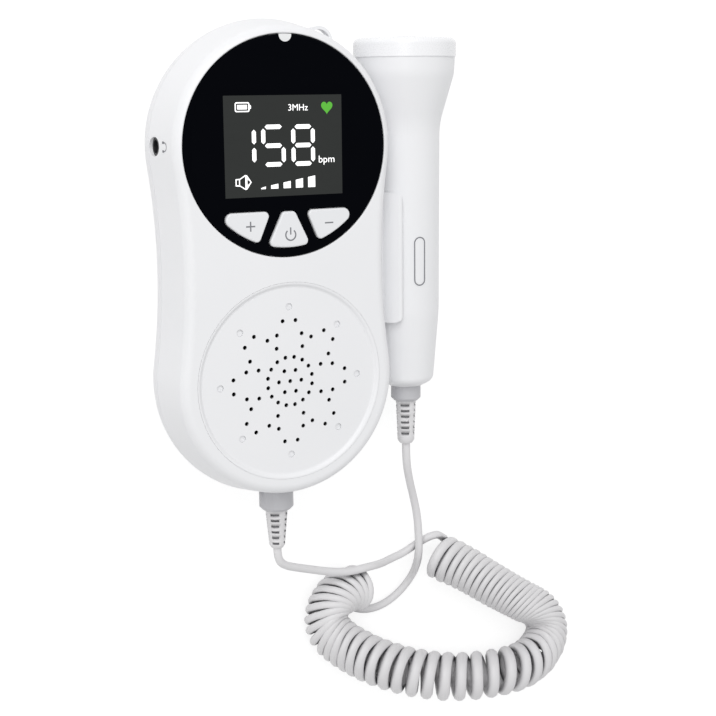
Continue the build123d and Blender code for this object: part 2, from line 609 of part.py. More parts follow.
def keys():
    """Key caps through the lens, each with a flange under the wall and a stem over its switch."""
    parts = {}
    flanges = key_outlines(KEY_FLANGE)
    middles = key_middles()
    for name, outline in key_outlines().items():
        cap = upright(outline, KEY_FLANGE_LOW, DEPTH + KEY_PROUD)
        cap = fillet(cap.edges().group_by(Axis.Z)[-1], KEY_EDGE_R)
        flange = upright(flanges[name], KEY_FLANGE_LOW, KEY_FLANGE_TOP)
        stem = Pos(*middles[name], 0) * upright(
            Circle(KEY_STEM_R), SWITCH_TOP + KEY_TRAVEL + FIT_GAP, KEY_FLANGE_LOW)
        parts[name] = cap + flange + stem
    return parts


def tact_switches():
    group = []
    for middle in key_middles().values():
        place = Pos(*middle, BOARD_TOP)
        body = place * Pos(0, 0, SWITCH_H / 2) * Box(SWITCH_SIZE, SWITCH_SIZE, SWITCH_H)
        pin = place * Pos(0, 0, SWITCH_H + SWITCH_PIN_H / 2) * Cylinder(SWITCH_PIN_R, SWITCH_PIN_H)
        group.append(body + pin)
    return group


# ---------------------------------------------------------------- electronics
def main_board():
    board = straight_body(BOARD_LOW_Z, BOARD_TOP, WALL + BOARD_EDGE_GAP)
    size = 4 * END_R
    board &= Pos(0, BOARD_LOW_Y + size / 2, BOARD_TOP) * Box(size, size, 4 * BOARD_THICK)
    for x, y in SCREWS:
        board -= Pos(x, y, 0) * upright(Circle(TOWER_R + MOVE_GAP), BOARD_LOW_Z, BOARD_TOP)
    return board


def status_led():
    return Pos(0, PIPE_LEG_Y, BOARD_TOP + LED_H / 2) * Box(LED_L, LED_W, LED_H)


def headphone_jack():
    """Socket on the board, its barrel through the left flank."""
    mouth = -flank(JACK_Z) + JACK_INSET
    height = 2 * (JACK_Z - BOARD_TOP)
    body_near = -flank(BOARD_TOP + height) + WALL + MOVE_GAP
    body = Box(JACK_BODY_LENGTH, JACK_BODY_W, height)
    body = Pos(body_near + JACK_BODY_LENGTH / 2, JACK_Y, JACK_Z) * body
    place = along_x(JACK_Y, JACK_Z)
    barrel = place * Pos(0, 0, (mouth + body_near) / 2) * Cylinder(JACK_BARREL_R, body_near - mouth)
    bore = place * Pos(0, 0, mouth + JACK_BORE_LENGTH / 2) * Cylinder(JACK_BORE_R, JACK_BORE_LENGTH)
    return body + barrel - bore


# ---------------------------------------------------------------- speaker
def speaker_grille():
    """Pierced dish with a soft edge, and the ring behind it that centres the speaker."""
    floor = DEPTH - DISH_DEPTH
    seat = DEPTH - GRILLE_RIM_THICK
    outer = DISH_R + DISH_RUN
    mid_r, mid_z = DISH_R + DISH_RUN / 2, DEPTH - DISH_DEPTH / 2
    ring_in = SPEAKER_R + SPEAKER_RING_GAP
    ring_out = ring_in + SPEAKER_RING_THICK
    ring_low = GRILLE_LOW_Z - SPEAKER_RING_DEPTH
    spigot = GRILLE_R - GRILLE_SEAT
    outline = [
        Line((0, floor), (DISH_R, floor)),
        TangentArc((DISH_R, floor), (mid_r, mid_z), tangent=(1, 0)),
        TangentArc((outer, DEPTH), (mid_r, mid_z), tangent=(-1, 0)),
        Polyline((outer, DEPTH), (GRILLE_R, DEPTH), (GRILLE_R, seat), (spigot, seat), (spigot, GRILLE_LOW_Z),
                 (ring_out, GRILLE_LOW_Z), (ring_out, ring_low), (ring_in, ring_low),
                 (ring_in, GRILLE_LOW_Z), (0, GRILLE_LOW_Z), (0, floor)),
    ]
    plate = revolve(Plane.XZ * make_face(outline), Axis.Z)
    holes = [Pos(x, y, floor) * Cylinder(HOLE_R, 4 * GRILLE_THICK) for x, y in grille_points()]
    dimples = [
        Pos(DIMPLE_RING_R * math.sin(math.radians(a)), DIMPLE_RING_R * math.cos(math.radians(a)), floor)
        * Cylinder(DIMPLE_R, 2 * DIMPLE_DEPTH)
        for a in ring_angles(8)
    ]
    return SPEAKER * (plate - holes - dimples)


def speaker_cloth():
    return SPEAKER * upright(Circle(SPEAKER_R), SPEAKER_TOP, GRILLE_LOW_Z)


def speaker_frame():
    """Pressed metal frame: a flat rim, a cone wall and a flat bottom that carries the magnet."""
    rim_low = SPEAKER_TOP - FRAME_RIM_THICK
    rim_in = SPEAKER_R - FRAME_RIM_W
    low = MAGNET_TOP
    metal = SPEAKER_FRAME_METAL
    bottom_r = MAGNET_R + 2 * metal
    return turned([
        (SPEAKER_R, SPEAKER_TOP), (SPEAKER_R, rim_low), (rim_in + metal, rim_low), (bottom_r, low),
        (SPEAKER_FRAME_MOUTH_R, low), (SPEAKER_FRAME_MOUTH_R, low + metal),
        (bottom_r - metal / 2, low + metal), (rim_in, rim_low), (rim_in, SPEAKER_TOP),
    ], SPEAKER)


def speaker_cone():
    top = SPEAKER_TOP - CLOTH_THICK
    rim = SPEAKER_R - FRAME_RIM_W - PRESS_GAP
    low = top - CONE_DROP
    return turned([
        (rim, top), (rim - CONE_SURROUND, top), (CONE_CAP_R, low), (0, low + CONE_DROP / 2),
        (0, low + CONE_DROP / 2 - CONE_THICK), (CONE_CAP_R, low - CONE_THICK),
        (rim - CONE_SURROUND, top - CONE_THICK), (rim, top - CONE_THICK),
    ], SPEAKER)


def speaker_magnet():
    magnet = upright(Circle(MAGNET_R), MAGNET_LOW, MAGNET_TOP)
    return SPEAKER * fillet(magnet.edges().group_by(Axis.Z)[0], MAGNET_EDGE_R)


# ---------------------------------------------------------------- batteries
def cell_place(side):
    """Frame at the nub end of a cell, Z from nub to base.  The two cells lie head to tail."""
    x = side * CELL_PITCH / 2
    if side < 0:
        return Plane(origin=(x, BAY_TOP_Y - PLATE_THICK, CELL_Z), x_dir=(1, 0, 0), z_dir=(0, -1, 0))
    return Plane(origin=(x, BAY_LOW_Y + PLATE_THICK, CELL_Z), x_dir=(1, 0, 0), z_dir=(0, 1, 0))


def battery_cell(side):
    nub = Pos(0, 0, CELL_NUB_H / 2) * Cylinder(CELL_NUB_R, CELL_NUB_H)
    can = Pos(0, 0, CELL_NUB_H + CELL_LENGTH / 2) * Cylinder(CELL_R, CELL_LENGTH)
    return cell_place(side) * (nub + fillet(can.edges(), CELL_EDGE_R))


def battery_plates():
    return [
        cell_place(side) * Pos(0, 0, -PLATE_THICK / 2) * Box(PLATE_SIZE, PLATE_SIZE, PLATE_THICK)
        for side in (-1, 1)
    ]


def battery_leaf_springs():
    """Bowed strips that push on the flat ends of the cells."""
    base = CELL_NUB_H + CELL_LENGTH
    half = PLATE_SIZE / 2
    bow = LEAF_SPAN - LEAF_THICK
    strip = make_face([
        ThreePointArc((-half, bow), (0, 0), (half, bow)),
        Line((half, bow), (half, LEAF_SPAN)),
        ThreePointArc((half, LEAF_SPAN), (0, LEAF_THICK), (-half, LEAF_SPAN)),
        Line((-half, LEAF_SPAN), (-half, bow)),
    ])
    section = Plane.YZ * strip
    leaf = extrude(section, LEAF_W / 2, both=True)
    return [cell_place(side) * Pos(0, 0, base) * leaf for side in (-1, 1)]


# ---------------------------------------------------------------- screws
def case_screws():
    group = []
    for x, y in SCREWS:
        head = upright(Circle(SCREW_HEAD_R), SCREW_SEAT_Z - SCREW_HEAD_H, SCREW_SEAT_Z)
        cross = Rectangle(SCREW_SLOT_L, SCREW_SLOT_W) + Rectangle(SCREW_SLOT_W, SCREW_SLOT_L)
        head -= upright(cross, SCREW_SEAT_Z - SCREW_HEAD_H, SCREW_SEAT_Z - SCREW_HEAD_H / 2)
        shank = upright(Circle(SCREW_R), SCREW_SEAT_Z, SCREW_SEAT_Z + SCREW_LENGTH)
        group.append(Pos(x, y, 0) * (head + shank))
    return group


# ---------------------------------------------------------------- probe
def probe_form(inset, low_y, high_y):
    """Turned form of the probe between two stations, its wall moved in by an inset."""
    collar_r = HEAD_R - CAP_STEP - inset
    stations = [
        (low_y, 0), (low_y, HANDLE_END_R - inset / 2), (HEEL_Y + inset / 3, HEEL_R - inset),
        (TAPER_Y, HANDLE_R - inset), (NECK_Y, HANDLE_R + HANDLE_SWELL - inset),
        (SHOULDER_Y, SHOULDER_R - inset), (CAP_LOW_Y, collar_r), (high_y, collar_r), (high_y, 0),
    ]
    if high_y == CAP_LOW_Y:
        stations.remove((high_y, collar_r))
    rounds = {2: HEEL_ROUND, 3: TAPER_ROUND, 4: NECK_ROUND, 5: SHOULDER_ROUND}
    return turned([(radius, -y) for y, radius in stations], along_y(PROBE_X, PROBE_Z), rounds)


def probe_body():
    body = probe_form(0, HANDLE_END_Y, CAP_LOW_Y)
    body -= probe_form(PROBE_WALL, HANDLE_END_Y + PROBE_WALL, CAP_LOW_Y + CAP_SPIGOT)
    body -= along_y(PROBE_X, PROBE_Z) * Pos(0, 0, -HANDLE_END_Y) * Cylinder(
        GLAND_NECK_R + PRESS_GAP, 4 * PROBE_WALL)
    return body


def probe_cap():
    """Ring that clips over the head and holds the sensing face."""
    top, low = -HEAD_TOP_Y, -CAP_LOW_Y
    mouth = HEAD_R - CAP_STEP - PROBE_WALL - FIT_GAP
    bore = FACE_R - CAP_SEAT_W
    return turned([
        (FACE_R, top), (HEAD_R, top), (HEAD_R, low), (mouth, low),
        (mouth - CAP_SPIGOT_TAPER, low + CAP_SPIGOT), (bore, low + CAP_SPIGOT),
        (bore, top + FACE_THICK), (FACE_R, top + FACE_THICK),
    ], along_y(PROBE_X, PROBE_Z), {1: CAP_EDGE_R})


def transducer_face():
    """Flat sensing membrane with a slightly domed middle."""
    dome_r = (FACE_DOME_R**2 + FACE_DOME_H**2) / (2 * FACE_DOME_H)
    top = -HEAD_TOP_Y
    halfway = top - FACE_DOME_H + dome_r - math.sqrt(dome_r**2 - FACE_DOME_R**2 / 4)
    rise = make_face([
        ThreePointArc((0, top - FACE_DOME_H), (FACE_DOME_R / 2, halfway), (FACE_DOME_R, top)),
        Polyline((FACE_DOME_R, top), (FACE_R, top), (FACE_R, top + FACE_THICK), (0, top + FACE_THICK),
                 (0, top - FACE_DOME_H)),
    ])
    return along_y(PROBE_X, PROBE_Z) * revolve(Plane.XZ * rise, Axis.Z)


def transducer_crystals():
    """Two half-disc elements, one sends and one listens."""
    top = -HEAD_TOP_Y + FACE_THICK
    half_plane = Rectangle(2 * CRYSTAL_R, 4 * CRYSTAL_R)
    halves = []
    for side in (1, -1):
        half = Circle(CRYSTAL_R) & (Pos(side * (CRYSTAL_R + CRYSTAL_GAP / 2), 0) * half_plane)
        halves.append(along_y(PROBE_X, PROBE_Z) * upright(half, top, top + CRYSTAL_THICK))
    return halves


def probe_board():
    width = 2 * math.sqrt((HANDLE_R - PROBE_WALL)**2 - (PROBE_BOARD_THICK / 2)**2) - 2 * FIT_GAP
    return Pos(PROBE_X, PROBE_BOARD_Y, PROBE_Z) * Box(width, PROBE_BOARD_L, PROBE_BOARD_THICK)


# ---------------------------------------------------------------- strain reliefs
def collar_head(place, radius, start, end, boot_r):
    """Outside part of a gland, with a socket for the root of the boot."""
    socket = boot_r + PRESS_GAP
    return turned([
        (socket, end), (radius - COLLAR_CHAMFER, end), (radius, end - COLLAR_CHAMFER), (radius, start),
        (0, start), (0, end - BOOT_ROOT), (socket, end - BOOT_ROOT),
    ], place)


def collar_neck(place, start, end):
    """Neck through the wall and the flange that holds it from inside."""
    flange_top = start + GLAND_FLANGE_THICK
    return turned([
        (0, start), (GLAND_FLANGE_R, start), (GLAND_FLANGE_R, flange_top), (GLAND_NECK_R, flange_top),
        (GLAND_NECK_R, end), (0, end),
    ], place)


def bend_relief(place, start, length, radius, end_r):
    """Tapered soft boot with rows of slots, its root seated in the collar."""
    end = start + length
    boot = turned([
        (0, start - BOOT_ROOT), (radius, start - BOOT_ROOT), (radius, start), (end_r, end - BOOT_TIP),
        (end_r - BOOT_TIP_IN, end), (0, end),
    ], place)
    for row in range(BOOT_SLOT_ROWS):
        height = start + BOOT_SLOT_START + row * BOOT_SLOT_PITCH
        share = (height - start) / (length - BOOT_TIP)
        surface = radius + (end_r - radius) * share
        for angle in ring_angles(4, BOOT_SLOT_PHASE):
            slot = Pos(surface, 0, height) * Box(
                2 * BOOT_SLOT_DEPTH, BOOT_SLOT_W * surface / radius, BOOT_SLOT_H)
            boot -= place * (Rot(0, 0, angle) * slot)
    return boot


def unit_collar():
    """Gland of the housing, its foot shaped to the tail end."""
    place = along_y(0, UNIT_CORD_Z)
    end = -TAIL_END_Y + UNIT_COLLAR_LENGTH
    head = collar_head(place, UNIT_COLLAR_R, -TAIL_END_Y - UNIT_COLLAR_SINK, end, UNIT_BOOT_R)
    head -= straight_body(0, PARTING_Z)
    head -= front_body(0, DEPTH)
    flange_clear = flank(UNIT_CORD_Z + GLAND_FLANGE_R) - WALL - FIT_GAP
    neck_start = CENTRE_PITCH + flange_clear - GLAND_FLANGE_THICK
    return head + collar_neck(place, neck_start, end - BOOT_ROOT)


def unit_boot():
    return bend_relief(along_y(0, UNIT_CORD_Z), -TAIL_END_Y + UNIT_COLLAR_LENGTH,
                       UNIT_BOOT_LENGTH, UNIT_BOOT_R, UNIT_BOOT_END_R)


def probe_collar():
    place = along_y(PROBE_X, PROBE_Z)
    start = -HANDLE_END_Y
    end = start + PROBE_COLLAR_LENGTH
    inside = start - PROBE_WALL - GLAND_FLANGE_THICK
    head = collar_head(place, PROBE_COLLAR_R, start, end, PROBE_BOOT_R)
    return head + collar_neck(place, inside, end - BOOT_ROOT)


def probe_boot():
    return bend_relief(along_y(PROBE_X, PROBE_Z), -HANDLE_END_Y + PROBE_COLLAR_LENGTH,
                       PROBE_BOOT_LENGTH, PROBE_BOOT_R, PROBE_BOOT_END_R)


# ---------------------------------------------------------------- lead
def lead_tube(name, route, radius):
    """Round tube along straight runs joined by the largest tangent arcs they allow."""
    points = [Vector(*p) for p in route]
    runs = [b - a for a, b in zip(points, points[1:])]
    radii = []
    for before, after in zip(runs, runs[1:]):
        half_turn = math.radians(before.get_angle(after)) / 2
        radii.append(0.45 * min(before.length, after.length) / math.tan(half_turn))
    path = FilletPolyline(*points, radius=radii)
    tube = sweep(Plane(origin=points[0], z_dir=runs[0]) * Circle(radius), path=path)
    expected = math.pi * radius**2 * path.length
    print(name, "length", round(path.length, 1), "radii", [round(r, 1) for r in radii],
          "volume share", round(tube.volume / expected, 4))
    return tube


def write(name, shape):
    pieces = shape if isinstance(shape, list) else [shape]
    solids = [solid for piece in pieces for solid in piece.solids()]
    whole = solids[0] if len(solids) == 1 else Compound(children=solids)
    whole.label = name
    export_step(whole, f"parts/{name}.step")


def main():
    os.makedirs("parts", exist_ok=True)
    parts = {
        "front_shell": front_shell(),
        "rear_shell": rear_shell(),
        "battery_door": battery_door(),
        "case_screws": case_screws(),
        "lens_panel": lens_panel(),
        "indicator_light_pipe": indicator_light_pipe(),
        "status_led": status_led(),
        "display_screen": display_screen(),
        "display_frame": display_frame(),
        "main_board": main_board(),
        "tact_switches": tact_switches(),
        "headphone_jack": headphone_jack(),
        "speaker_grille": speaker_grille(),
        "speaker_cloth": speaker_cloth(),
        "speaker_frame": speaker_frame(),
        "speaker_cone": speaker_cone(),
        "speaker_magnet": speaker_magnet(),
        "battery_cell_left": battery_cell(-1),
        "battery_cell_right": battery_cell(1),
        "battery_plates": battery_plates(),
        "battery_leaf_springs": battery_leaf_springs(),
        "unit_collar": unit_collar(),
        "unit_boot": unit_boot(),
        "probe_body": probe_body(),
        "probe_cap": probe_cap(),
        "transducer_face": transducer_face(),
        "transducer_crystals": transducer_crystals(),
        "probe_board": probe_board(),
        "probe_collar": probe_collar(),
        "probe_boot": probe_boot(),
    }
    unit_out = [(x, UNIT_CORD_Y - out, z) for x, out, z in UNIT_LEAD_OUT]
    probe_out = [(PROBE_X, PROBE_CORD_Y - out, PROBE_Z) for out in PROBE_LEAD_OUT]
    coil = [(x, y, COIL_Z) for x, y in COIL_ROUTE]
    for name, route, radius in (
        ("cord_tail_unit", unit_out + UNIT_TAIL, CORD_R),
        ("cord_coil", coil, COIL_R),
        ("cord_tail_probe", probe_out + PROBE_TAIL, CORD_R),
    ):
        parts[name] = lead_tube(name, route, radius)
    parts.update(keys())
    for name, shape in parts.items():
        write(name, shape)


main()
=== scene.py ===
import json
import logging
import math
from dataclasses import dataclass, field
from enum import Enum

import bmesh
import bpy
from mathutils import Matrix, Vector


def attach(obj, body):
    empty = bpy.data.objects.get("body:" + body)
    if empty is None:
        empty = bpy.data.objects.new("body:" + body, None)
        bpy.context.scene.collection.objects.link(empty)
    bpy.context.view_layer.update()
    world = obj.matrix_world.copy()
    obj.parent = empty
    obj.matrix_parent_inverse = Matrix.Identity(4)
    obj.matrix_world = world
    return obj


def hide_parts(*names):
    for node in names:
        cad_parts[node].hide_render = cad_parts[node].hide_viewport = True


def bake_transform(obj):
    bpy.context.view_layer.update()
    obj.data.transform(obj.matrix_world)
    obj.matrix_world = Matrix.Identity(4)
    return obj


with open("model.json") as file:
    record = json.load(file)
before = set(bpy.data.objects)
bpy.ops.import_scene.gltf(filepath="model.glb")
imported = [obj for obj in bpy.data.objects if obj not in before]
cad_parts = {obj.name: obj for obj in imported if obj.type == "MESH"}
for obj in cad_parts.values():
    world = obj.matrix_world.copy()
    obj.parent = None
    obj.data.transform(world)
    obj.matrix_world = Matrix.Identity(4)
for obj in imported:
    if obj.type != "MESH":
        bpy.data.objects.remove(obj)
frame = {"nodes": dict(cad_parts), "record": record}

Tree = bpy.types.NodeTree
Node = bpy.types.Node
Socket = bpy.types.NodeSocket
Piece = bpy.types.Object
Spot = tuple[float, float, float]
Flat = tuple[float, float]
Box = tuple[float, float, float, float]

log = logging.getLogger("doppler")

MM = 0.001
WHITE = (1.0, 1.0, 1.0, 1.0)

# Half the period of a wave texture at scale 1, in metres.
WAVE_HALF_PERIOD = 0.16

# Places of the two colours and of the result on a node that mixes colours.
MIX_A, MIX_B, MIX_RESULT = 6, 7, 2

# Points of a carried piece nearer than this are one point, and flats within this angle are one flat.
MERGE_MM = 0.0005
FLAT_DEG = 0.3

# Creases of a carried piece that are sharper than this stay creases.
CREASE_DEG = 30.0

# Points of a mark nearer than this are one point.
MARK_MERGE_MM = 0.001

# Heights that the printed marks sit on, and the handle's axis and radius, in millimetres, as in the solids.
FRONT_Z = 30.3
KEY_TOP_Z = 31.0
HANDLE_AXIS = (45.3, 15.2)
HANDLE_R = 10.0


# ---------------------------------------------------------------- small tools
def linear(code: str) -> tuple[float, float, float, float]:
    """Turns an sRGB hex colour to linear light.

    Args:
        code: six hex digits.

    Returns:
        Red, green, blue and alpha.
    """
    channels = [int(code[n:n + 2], 16) / 255 for n in (0, 2, 4)]
    curve = [c / 12.92 if c <= 0.04045 else ((c + 0.055) / 1.055) ** 2.4 for c in channels]
    return (*curve, 1.0)


def add_node(tree: Tree, kind: str, settings: dict | None = None, links: dict | None = None) -> Node:
    """Adds a shader node with its settings and links.

    Args:
        tree: tree that gets the node.
        kind: class name of the node.
        settings: values by the name or place of a socket, or by the name of a property.
        links: output sockets by the name or place of the input they feed.

    Returns:
        The new node.
    """
    node = tree.nodes.new(kind)
    for key, value in (settings or {}).items():
        if isinstance(key, int) or key in node.inputs:
            node.inputs[key].default_value = value
        else:
            setattr(node, key, value)
    for key, socket in (links or {}).items():
        tree.links.new(socket, node.inputs[key])
    return node


def body_of(node: str) -> str:
    """Name of the body that a CAD node belongs to."""
    bodies = frame["record"]["behaviour"]["bodies"]
    return next(body for body, nodes in bodies.items() if node in nodes)


def place(name: str, mesh: bpy.types.Mesh) -> Piece:
    """Puts a mesh into the scene as an object at the origin.

    Args:
        name: name of the piece.
        mesh: its shape, in metres.

    Returns:
        The new piece.
    """
    piece = bpy.data.objects.new(name, mesh)
    bpy.context.scene.collection.objects.link(piece)
    return piece


def smooth(mesh: bpy.types.Mesh, degrees: float) -> None:
    """Shades a mesh smooth, with its creases sharper than an angle kept."""
    mesh.shade_smooth()
    mesh.set_sharp_from_angle(angle=math.radians(degrees))


def meshed(drawing: bpy.types.Curve) -> bpy.types.Mesh:
    """Turns a curve or lettering to a mesh.

    Args:
        drawing: the curve or lettering.

    Returns:
        Its mesh, in the drawing's own units.
    """
    sketch = bpy.data.objects.new("sketch", drawing)
    bpy.context.scene.collection.objects.link(sketch)
    bpy.context.view_layer.update()
    mesh = bpy.data.meshes.new_from_object(sketch.evaluated_get(bpy.context.evaluated_depsgraph_get()))
    bpy.data.objects.remove(sketch)
    return mesh


def arc(middle: Flat, radius: float, angles: list[float]) -> list[Flat]:
    """Points of a circle at some angles in radians."""
    return [(middle[0] + radius * math.cos(a), middle[1] + radius * math.sin(a)) for a in angles]


# ---------------------------------------------------------------- finishes
class Finish:
    """A surface finish that is made once and then shared by its pieces."""

    made: dict[str, bpy.types.Material] = {}
    name: str

    def dress(self, tree: Tree, shader: Node, spot: Socket) -> None:
        """Sets the shader up; each finish has its own."""
        raise NotImplementedError

    def material(self) -> bpy.types.Material:
        """The finish as a material, made when it is first asked for.

        Returns:
            The material that all pieces of this finish share.
        """
        if self.name not in Finish.made:
            material = bpy.data.materials.new(self.name)
            material.use_nodes = True
            tree = material.node_tree
            spot = add_node(tree, "ShaderNodeTexCoord").outputs["Object"]
            self.dress(tree, tree.nodes["Principled BSDF"], spot)
            Finish.made[self.name] = material
        return Finish.made[self.name]

    def cover(self, piece: Piece) -> None:
        """Puts the finish on a piece, in place of what it has."""
        piece.data.materials.clear()
        piece.data.materials.append(self.material())


@dataclass(frozen=True)
class Moulded(Finish):
    """Injection-moulded plastic or rubber, with the fine spark texture of its mould.

    The texture breaks up the highlight, and the resin's tone drifts a little where it cooled slowly.
    Its grain is drawn coarser than that of a real mould, so that it shows.
    """

    name: str
    colour: str
    drift: str
    roughness: float
    grain_mm: float = 0.35
    grain_depth_mm: float = 0.006
    drift_mm: float = 28.0
    ior: float = 1.54
    gloss: float = 0.5
    unevenness: float = 0.05
    # Painted shade: colour, reach and occlusion range of the shade painted into narrow gaps and holes; none
    # without a colour.
    painted_shade: str = ""
    painted_shade_mm: float = 1.5
    painted_shade_shut: float = 0.25
    painted_shade_open: float = 0.7

    def dress(self, tree: Tree, shader: Node, spot: Socket) -> None:
        """Mottles the colour, paints shade into narrow gaps where a shade colour is given, varies the gloss
        and adds the mould's grain.

        Args:
            tree: nodes of the material.
            shader: the shader that the finish sets up.
            spot: place on the piece, in metres.
        """
        slow = add_node(tree, "ShaderNodeTexNoise", {"Scale": 1 / (self.drift_mm * MM), "Detail": 3.0},
                        {"Vector": spot})
        mix = add_node(tree, "ShaderNodeMix", {
            "data_type": "RGBA", MIX_A: linear(self.colour), MIX_B: linear(self.drift)},
            {"Factor": slow.outputs["Fac"]})
        tone = mix.outputs[MIX_RESULT]
        # Painted shade goes into the base colour wherever the finish has a shade colour.
        tree.links.new(self.with_painted_shade(tree, tone) if self.painted_shade else tone, shader.inputs["Base Color"])
        grain = add_node(tree, "ShaderNodeTexNoise", {
            "Scale": 1 / (self.grain_mm * MM), "Detail": 4.0, "Roughness": 0.6}, {"Vector": spot})
        spread = add_node(tree, "ShaderNodeMapRange", {
            "From Min": 0.3, "From Max": 0.7, "To Min": self.roughness - self.unevenness,
            "To Max": self.roughness + self.unevenness}, {"Value": grain.outputs["Fac"]})
        tree.links.new(spread.outputs["Result"], shader.inputs["Roughness"])
        bump = add_node(tree, "ShaderNodeBump", {"Strength": 0.6, "Distance": self.grain_depth_mm * MM},
                        {"Height": grain.outputs["Fac"]})
        tree.links.new(bump.outputs["Normal"], shader.inputs["Normal"])
        shader.inputs["IOR"].default_value = self.ior
        shader.inputs["Specular IOR Level"].default_value = self.gloss

    def with_painted_shade(self, tree: Tree, colour: Socket) -> Socket:
        """Paints shade into the colour in gaps and holes too narrow for light to reach their ground.

        Args:
            tree: nodes of the material.
            colour: the colour out in the open.

        Returns:
            The colour with painted shade in its gaps.
        """
        hollow = add_node(tree, "ShaderNodeAmbientOcclusion", {
            "samples": 8, "Distance": self.painted_shade_mm * MM})
        depth = add_node(tree, "ShaderNodeMapRange", {
            "From Min": self.painted_shade_shut, "From Max": self.painted_shade_open}, {"Value": hollow.outputs["AO"]})
        shade = add_node(tree, "ShaderNodeMix", {"data_type": "RGBA", MIX_A: linear(self.painted_shade)},
                         {"Factor": depth.outputs["Result"], MIX_B: colour})
        return shade.outputs[MIX_RESULT]


@dataclass(frozen=True)
class PolishedSheet(Finish):
    """Hard-coated acrylic or glass: a clear polish over its colour, with faint wipe marks in the gloss."""

    name: str
    colour: str
    drift: str
    roughness: float = 0.06
    ior: float = 1.49
    gloss: float = 0.5
    unevenness: float = 0.05
    wipe_deg: float = 25.0
    wipe_mm: Spot = (9.0, 1.6, 9.0)

    def dress(self, tree: Tree, shader: Node, spot: Socket) -> None:
        """Varies the gloss along wipe marks a few millimetres apart.

        Args:
            tree: nodes of the material.
            shader: the shader that the finish sets up.
            spot: place on the piece, in metres.
        """
        turned = add_node(tree, "ShaderNodeMapping", {
            "Rotation": (0, 0, math.radians(self.wipe_deg)),
            "Scale": tuple(1 / (size * MM) for size in self.wipe_mm)}, {"Vector": spot})
        wipe = add_node(tree, "ShaderNodeTexNoise", {"Scale": 1.0, "Detail": 4.0},
                        {"Vector": turned.outputs["Vector"]})
        spread = add_node(tree, "ShaderNodeMapRange", {
            "From Min": 0.35, "From Max": 0.75, "To Min": self.roughness,
            "To Max": self.roughness + self.unevenness}, {"Value": wipe.outputs["Fac"]})
        tree.links.new(spread.outputs["Result"], shader.inputs["Roughness"])
        tone = add_node(tree, "ShaderNodeMix", {
            "data_type": "RGBA", MIX_A: linear(self.colour), MIX_B: linear(self.drift)},
            {"Factor": wipe.outputs["Fac"]})
        tree.links.new(tone.outputs[MIX_RESULT], shader.inputs["Base Color"])
        shader.inputs["IOR"].default_value = self.ior
        shader.inputs["Specular IOR Level"].default_value = self.gloss


@dataclass(frozen=True)
class LitPixels(Finish):
    """Lit liquid crystal under its polarizer: a flat, slightly uneven glow."""

    name: str
    colour: str
    glow: float
    cell_mm: float = 0.2
    dimmer: float = 0.94
    roughness: float = 0.3

    def dress(self, tree: Tree, shader: Node, spot: Socket) -> None:
        """Lets the colour shine by itself, with the faint grid of the display's pixels.

        Args:
            tree: nodes of the material.
            shader: the shader that the finish sets up.
            spot: place on the piece, in metres.
        """
        bright = linear(self.colour)
        grid = add_node(tree, "ShaderNodeTexChecker", {
            "Scale": 1 / (self.cell_mm * MM), "Color1": bright,
            "Color2": (*[self.dimmer * c for c in bright[:3]], 1.0)}, {"Vector": spot})
        tree.links.new(grid.outputs["Color"], shader.inputs["Emission Color"])
        tree.links.new(grid.outputs["Color"], shader.inputs["Base Color"])
        shader.inputs["Emission Strength"].default_value = self.glow
        shader.inputs["Roughness"].default_value = self.roughness


@dataclass(frozen=True)
class Ink(Finish):
    """Pad-printed ink: matte, with pinholes where it lies on the texture."""

    name: str
    colour: str
    drift: str
    grain_mm: float = 0.3
    roughness: float = 0.6

    def dress(self, tree: Tree, shader: Node, spot: Socket) -> None:
        """Breaks the ink up on the scale of the moulded grain under it.

        Args:
            tree: nodes of the material.
            shader: the shader that the finish sets up.
            spot: place on the piece, in metres.
        """
        grain = add_node(tree, "ShaderNodeTexNoise", {"Scale": 1 / (self.grain_mm * MM), "Detail": 2.0},
                         {"Vector": spot})
        tone = add_node(tree, "ShaderNodeMix", {
            "data_type": "RGBA", MIX_A: linear(self.colour), MIX_B: linear(self.drift)},
            {"Factor": grain.outputs["Fac"]})
        tree.links.new(tone.outputs[MIX_RESULT], shader.inputs["Base Color"])
        shader.inputs["Roughness"].default_value = self.roughness


@dataclass(frozen=True)
class Metal(Finish):
    """Plated or bare metal, drawn or rolled: fine lines along one axis."""

    name: str
    colour: str
    drift: str
    roughness: float
    lines_mm: Spot = (0.15, 3.0, 0.15)
    metallic: float = 1.0
    line_depth_mm: float = 0.004
    smoother: float = 0.06
    rougher: float = 0.08

    def dress(self, tree: Tree, shader: Node, spot: Socket) -> None:
        """Stretches a noise along the rolling direction for tone, gloss and height.

        Args:
            tree: nodes of the material.
            shader: the shader that the finish sets up.
            spot: place on the piece, in metres.
        """
        stretch = add_node(tree, "ShaderNodeMapping", {
            "Scale": tuple(1 / (size * MM) for size in self.lines_mm)}, {"Vector": spot})
        lines = add_node(tree, "ShaderNodeTexNoise", {"Scale": 1.0, "Detail": 3.0},
                         {"Vector": stretch.outputs["Vector"]})
        tone = add_node(tree, "ShaderNodeMix", {
            "data_type": "RGBA", MIX_A: linear(self.colour), MIX_B: linear(self.drift)},
            {"Factor": lines.outputs["Fac"]})
        tree.links.new(tone.outputs[MIX_RESULT], shader.inputs["Base Color"])
        spread = add_node(tree, "ShaderNodeMapRange", {
            "To Min": self.roughness - self.smoother, "To Max": self.roughness + self.rougher},
            {"Value": lines.outputs["Fac"]})
        tree.links.new(spread.outputs["Result"], shader.inputs["Roughness"])
        bump = add_node(tree, "ShaderNodeBump", {"Strength": 0.3, "Distance": self.line_depth_mm * MM},
                        {"Height": lines.outputs["Fac"]})
        tree.links.new(bump.outputs["Normal"], shader.inputs["Normal"])
        shader.inputs["Metallic"].default_value = self.metallic


